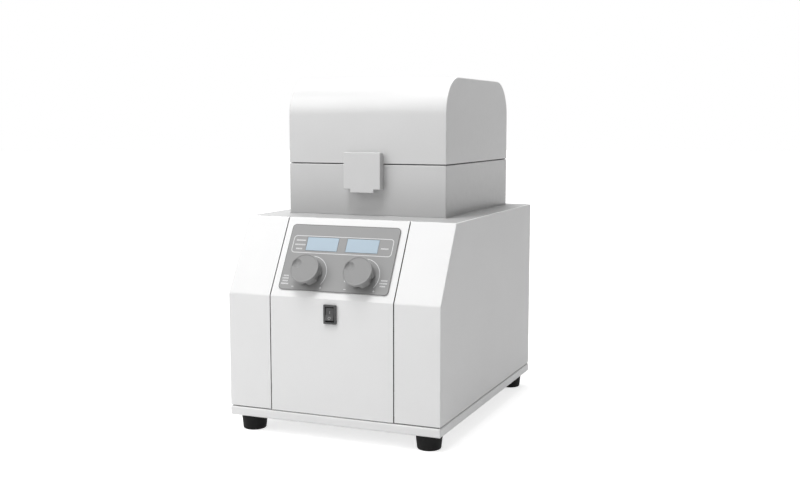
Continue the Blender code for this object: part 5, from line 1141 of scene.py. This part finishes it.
def threaded_rod():
    """Thread on the stud's end: the radius waves once each pitch, shifted by the angle."""
    angle = full_turn(THREAD_STEPS)
    step = THREAD_PITCH / RINGS_PER_PITCH
    height = np.arange(THREAD_FOOT, STUD_TOP - THREAD_END, step)[:, None]
    phase = height / THREAD_PITCH - angle / (2 * math.pi)
    wave = np.abs((phase % 1.0) * 2 - 1)
    radius = STUD_RADIUS - THREAD_DEPTH * (1 - wave) + THREAD_LIFT
    points = [radius * np.cos(angle), CENTRE_Y + radius * np.sin(angle), height + 0 * angle]
    return np.stack(points, -1)


thread = (threaded_rod(), False, True, ("first", "last"))
surface("stud_thread", [thread], steel, "carriage")

# ---------------------------------------------------------------------------
# Lid: one moulded shell sprayed light grey, whose front, top and back are a
# single arch. The arch is painted a lighter grey and the two ends a darker one,
# as painted light and shade, and both darken towards the bottom as painted
# shade. It is lined with black open-cell foam, and two steel butt hinges with
# three screws in each leaf carry it.
lid_low, lid_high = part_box("lid_shell")
LID_HALF = lid_high.x
LID_FRONT, LID_REAR = lid_low.y, lid_high.y
LID_BOTTOM, LID_TOP = lid_low.z, lid_high.z
LID_ARCH = 0.043
LID_ARCH_STEPS = 32
LID_EDGE = 0.0012
LID_EDGE_STEPS = 4
LID_MIDDLE = (-0.05, 0.0, 0.05)
LID_WALL = 0.0040
LID_ROUND = 0.0004
LID_TURN = 50
# Painted light and shade: a lighter grey on the arch, a darker one on the ends, and a fall towards
# the bottom.
ARCH_LIT_GREY = 0.68
END_SHADE_GREY = 0.61
LID_FOOT_SHADE = 0.91
FOAM_BLACK = (0.055, 0.055, 0.058)
HINGE_STEEL = (0.60, 0.60, 0.61)
HINGE_FACE = 0.1563
HINGE_X = 0.060
HINGE_PITCH = 0.016
HINGE_LEAVES = (("lower", "base", 0.2830), ("upper", "lid", 0.3180))


def lid_skin():
    """The arch's side line carried across the lid. Near each side the line is drawn in by the
    edge times one less cosine t while it moves out by the edge times sine t."""
    corners = [
        (LID_FRONT, LID_BOTTOM),
        (LID_FRONT, LID_TOP),
        (LID_REAR, LID_TOP),
        (LID_REAR, LID_BOTTOM),
    ]
    line = rounded_turn(corners, [0, LID_ARCH, LID_ARCH, 0], LID_ARCH_STEPS)
    ahead = np.gradient(line, axis=0)
    ahead[0] = (0, 1)
    ahead[-1] = (0, -1)
    ahead = ahead / np.linalg.norm(ahead, axis=1, keepdims=True)
    inward = np.stack([ahead[:, 1], -ahead[:, 0]], 1)
    turn = np.linspace(0, math.pi / 2, LID_EDGE_STEPS + 1)
    flat = LID_HALF - LID_EDGE
    right = [(flat + LID_EDGE * math.sin(t), LID_EDGE * (1 - math.cos(t))) for t in turn]
    across = [(-x, d) for x, d in right[::-1]] + [(x, 0.0) for x in LID_MIDDLE] + right
    columns = [
        np.column_stack([np.full(len(line), x), line + inward * depth]) for x, depth in across
    ]
    return np.stack(columns)


lid_rise = {"foot": LID_FOOT_SHADE, "low": LID_BOTTOM, "high": LID_TOP}
arch_gloss = {"coat_weight": 1.0, "coat_roughness": 0.34}
arch_lit_paint = head_coat("arch_lit_paint", foot_shade, ARCH_LIT_GREY, **lid_rise, **arch_gloss)
end_shade_paint = head_coat("end_shade_paint", foot_shade, END_SHADE_GREY, **lid_rise)
skin = (lid_skin(), False, False, ("first", "last"))
arch = surface("lid_arch", [skin], arch_lit_paint, "lid", ("lid_shell",))
wall = arch.modifiers.new("wall", "SOLIDIFY")
wall.thickness = LID_WALL
wall.offset = -1.0
wall.use_even_offset = True
ease_edges(arch, LID_ROUND, LID_TURN)
# Painted shade: the lid's end faces take the darker grey.
repaint(arch, end_shade_paint, facing(arch, 0))

open_cell = layered_recipe(
    "open-cell foam", fine=1800.0, broad=60.0, tint=0.10, shine=0.05, cells=900.0
)
foam = finish("liner_foam", open_cell, FOAM_BLACK, roughness=0.9, relief=0.0005)
leaf_feel = {"roughness": 0.33, "relief": 0.000006, "stretch": (1, 1, 10)}
hinge_steel = metal("hinge_steel", HINGE_STEEL, **leaf_feel)
dress(["lid_liner"], foam, edge=0.0008)
for leaf, body, level in HINGE_LEAVES:
    for side, way in (("left", -1), ("right", 1)):
        hinge = f"hinge_{leaf}_{side}"
        dress([hinge], hinge_steel, edge=0.0003)
        xs = [way * HINGE_X + step * HINGE_PITCH for step in (-1, 0, 1)]
        places = [(x, HINGE_FACE, level) for x in xs]
        screws(hinge + "_screws", places, BACK, body, SMALL_HEAD)
dress(["hinge_pin_left", "hinge_pin_right"], steel, edge=0.0002)

# ---------------------------------------------------------------------------
# Latch: a hollow lever sprayed light grey, which hangs from a steel pin on the
# lid and bridges the seam. Its side faces are painted a darker grey as painted
# shade. A nickel-plated magnet inside it holds a steel keeper on the chamber.
HEAD_GREY = 0.63
LATCH_SIDE_SHADE_GREY = 0.50
NICKEL = (0.50, 0.49, 0.47)

magnet_nickel = metal("magnet_nickel", NICKEL, roughness=0.22, relief=0.000003)
head_paint = head_coat("head_paint", powder, HEAD_GREY)
latch_side_shade = head_coat("latch_side_shade_paint", powder, LATCH_SIDE_SHADE_GREY)
lever = nodes["latch_lever"]

dress(["latch_lever"], head_paint, edge=0.0002)
# Painted shade: the latch's side faces take the darker grey.
repaint(lever, latch_side_shade, facing(lever, 0))
dress(["latch_magnet"], magnet_nickel, edge=0.0003)
dress(["latch_bracket", "latch_keeper"], hinge_steel, edge=0.0002)
dress(["latch_pin"], steel, edge=0.0)
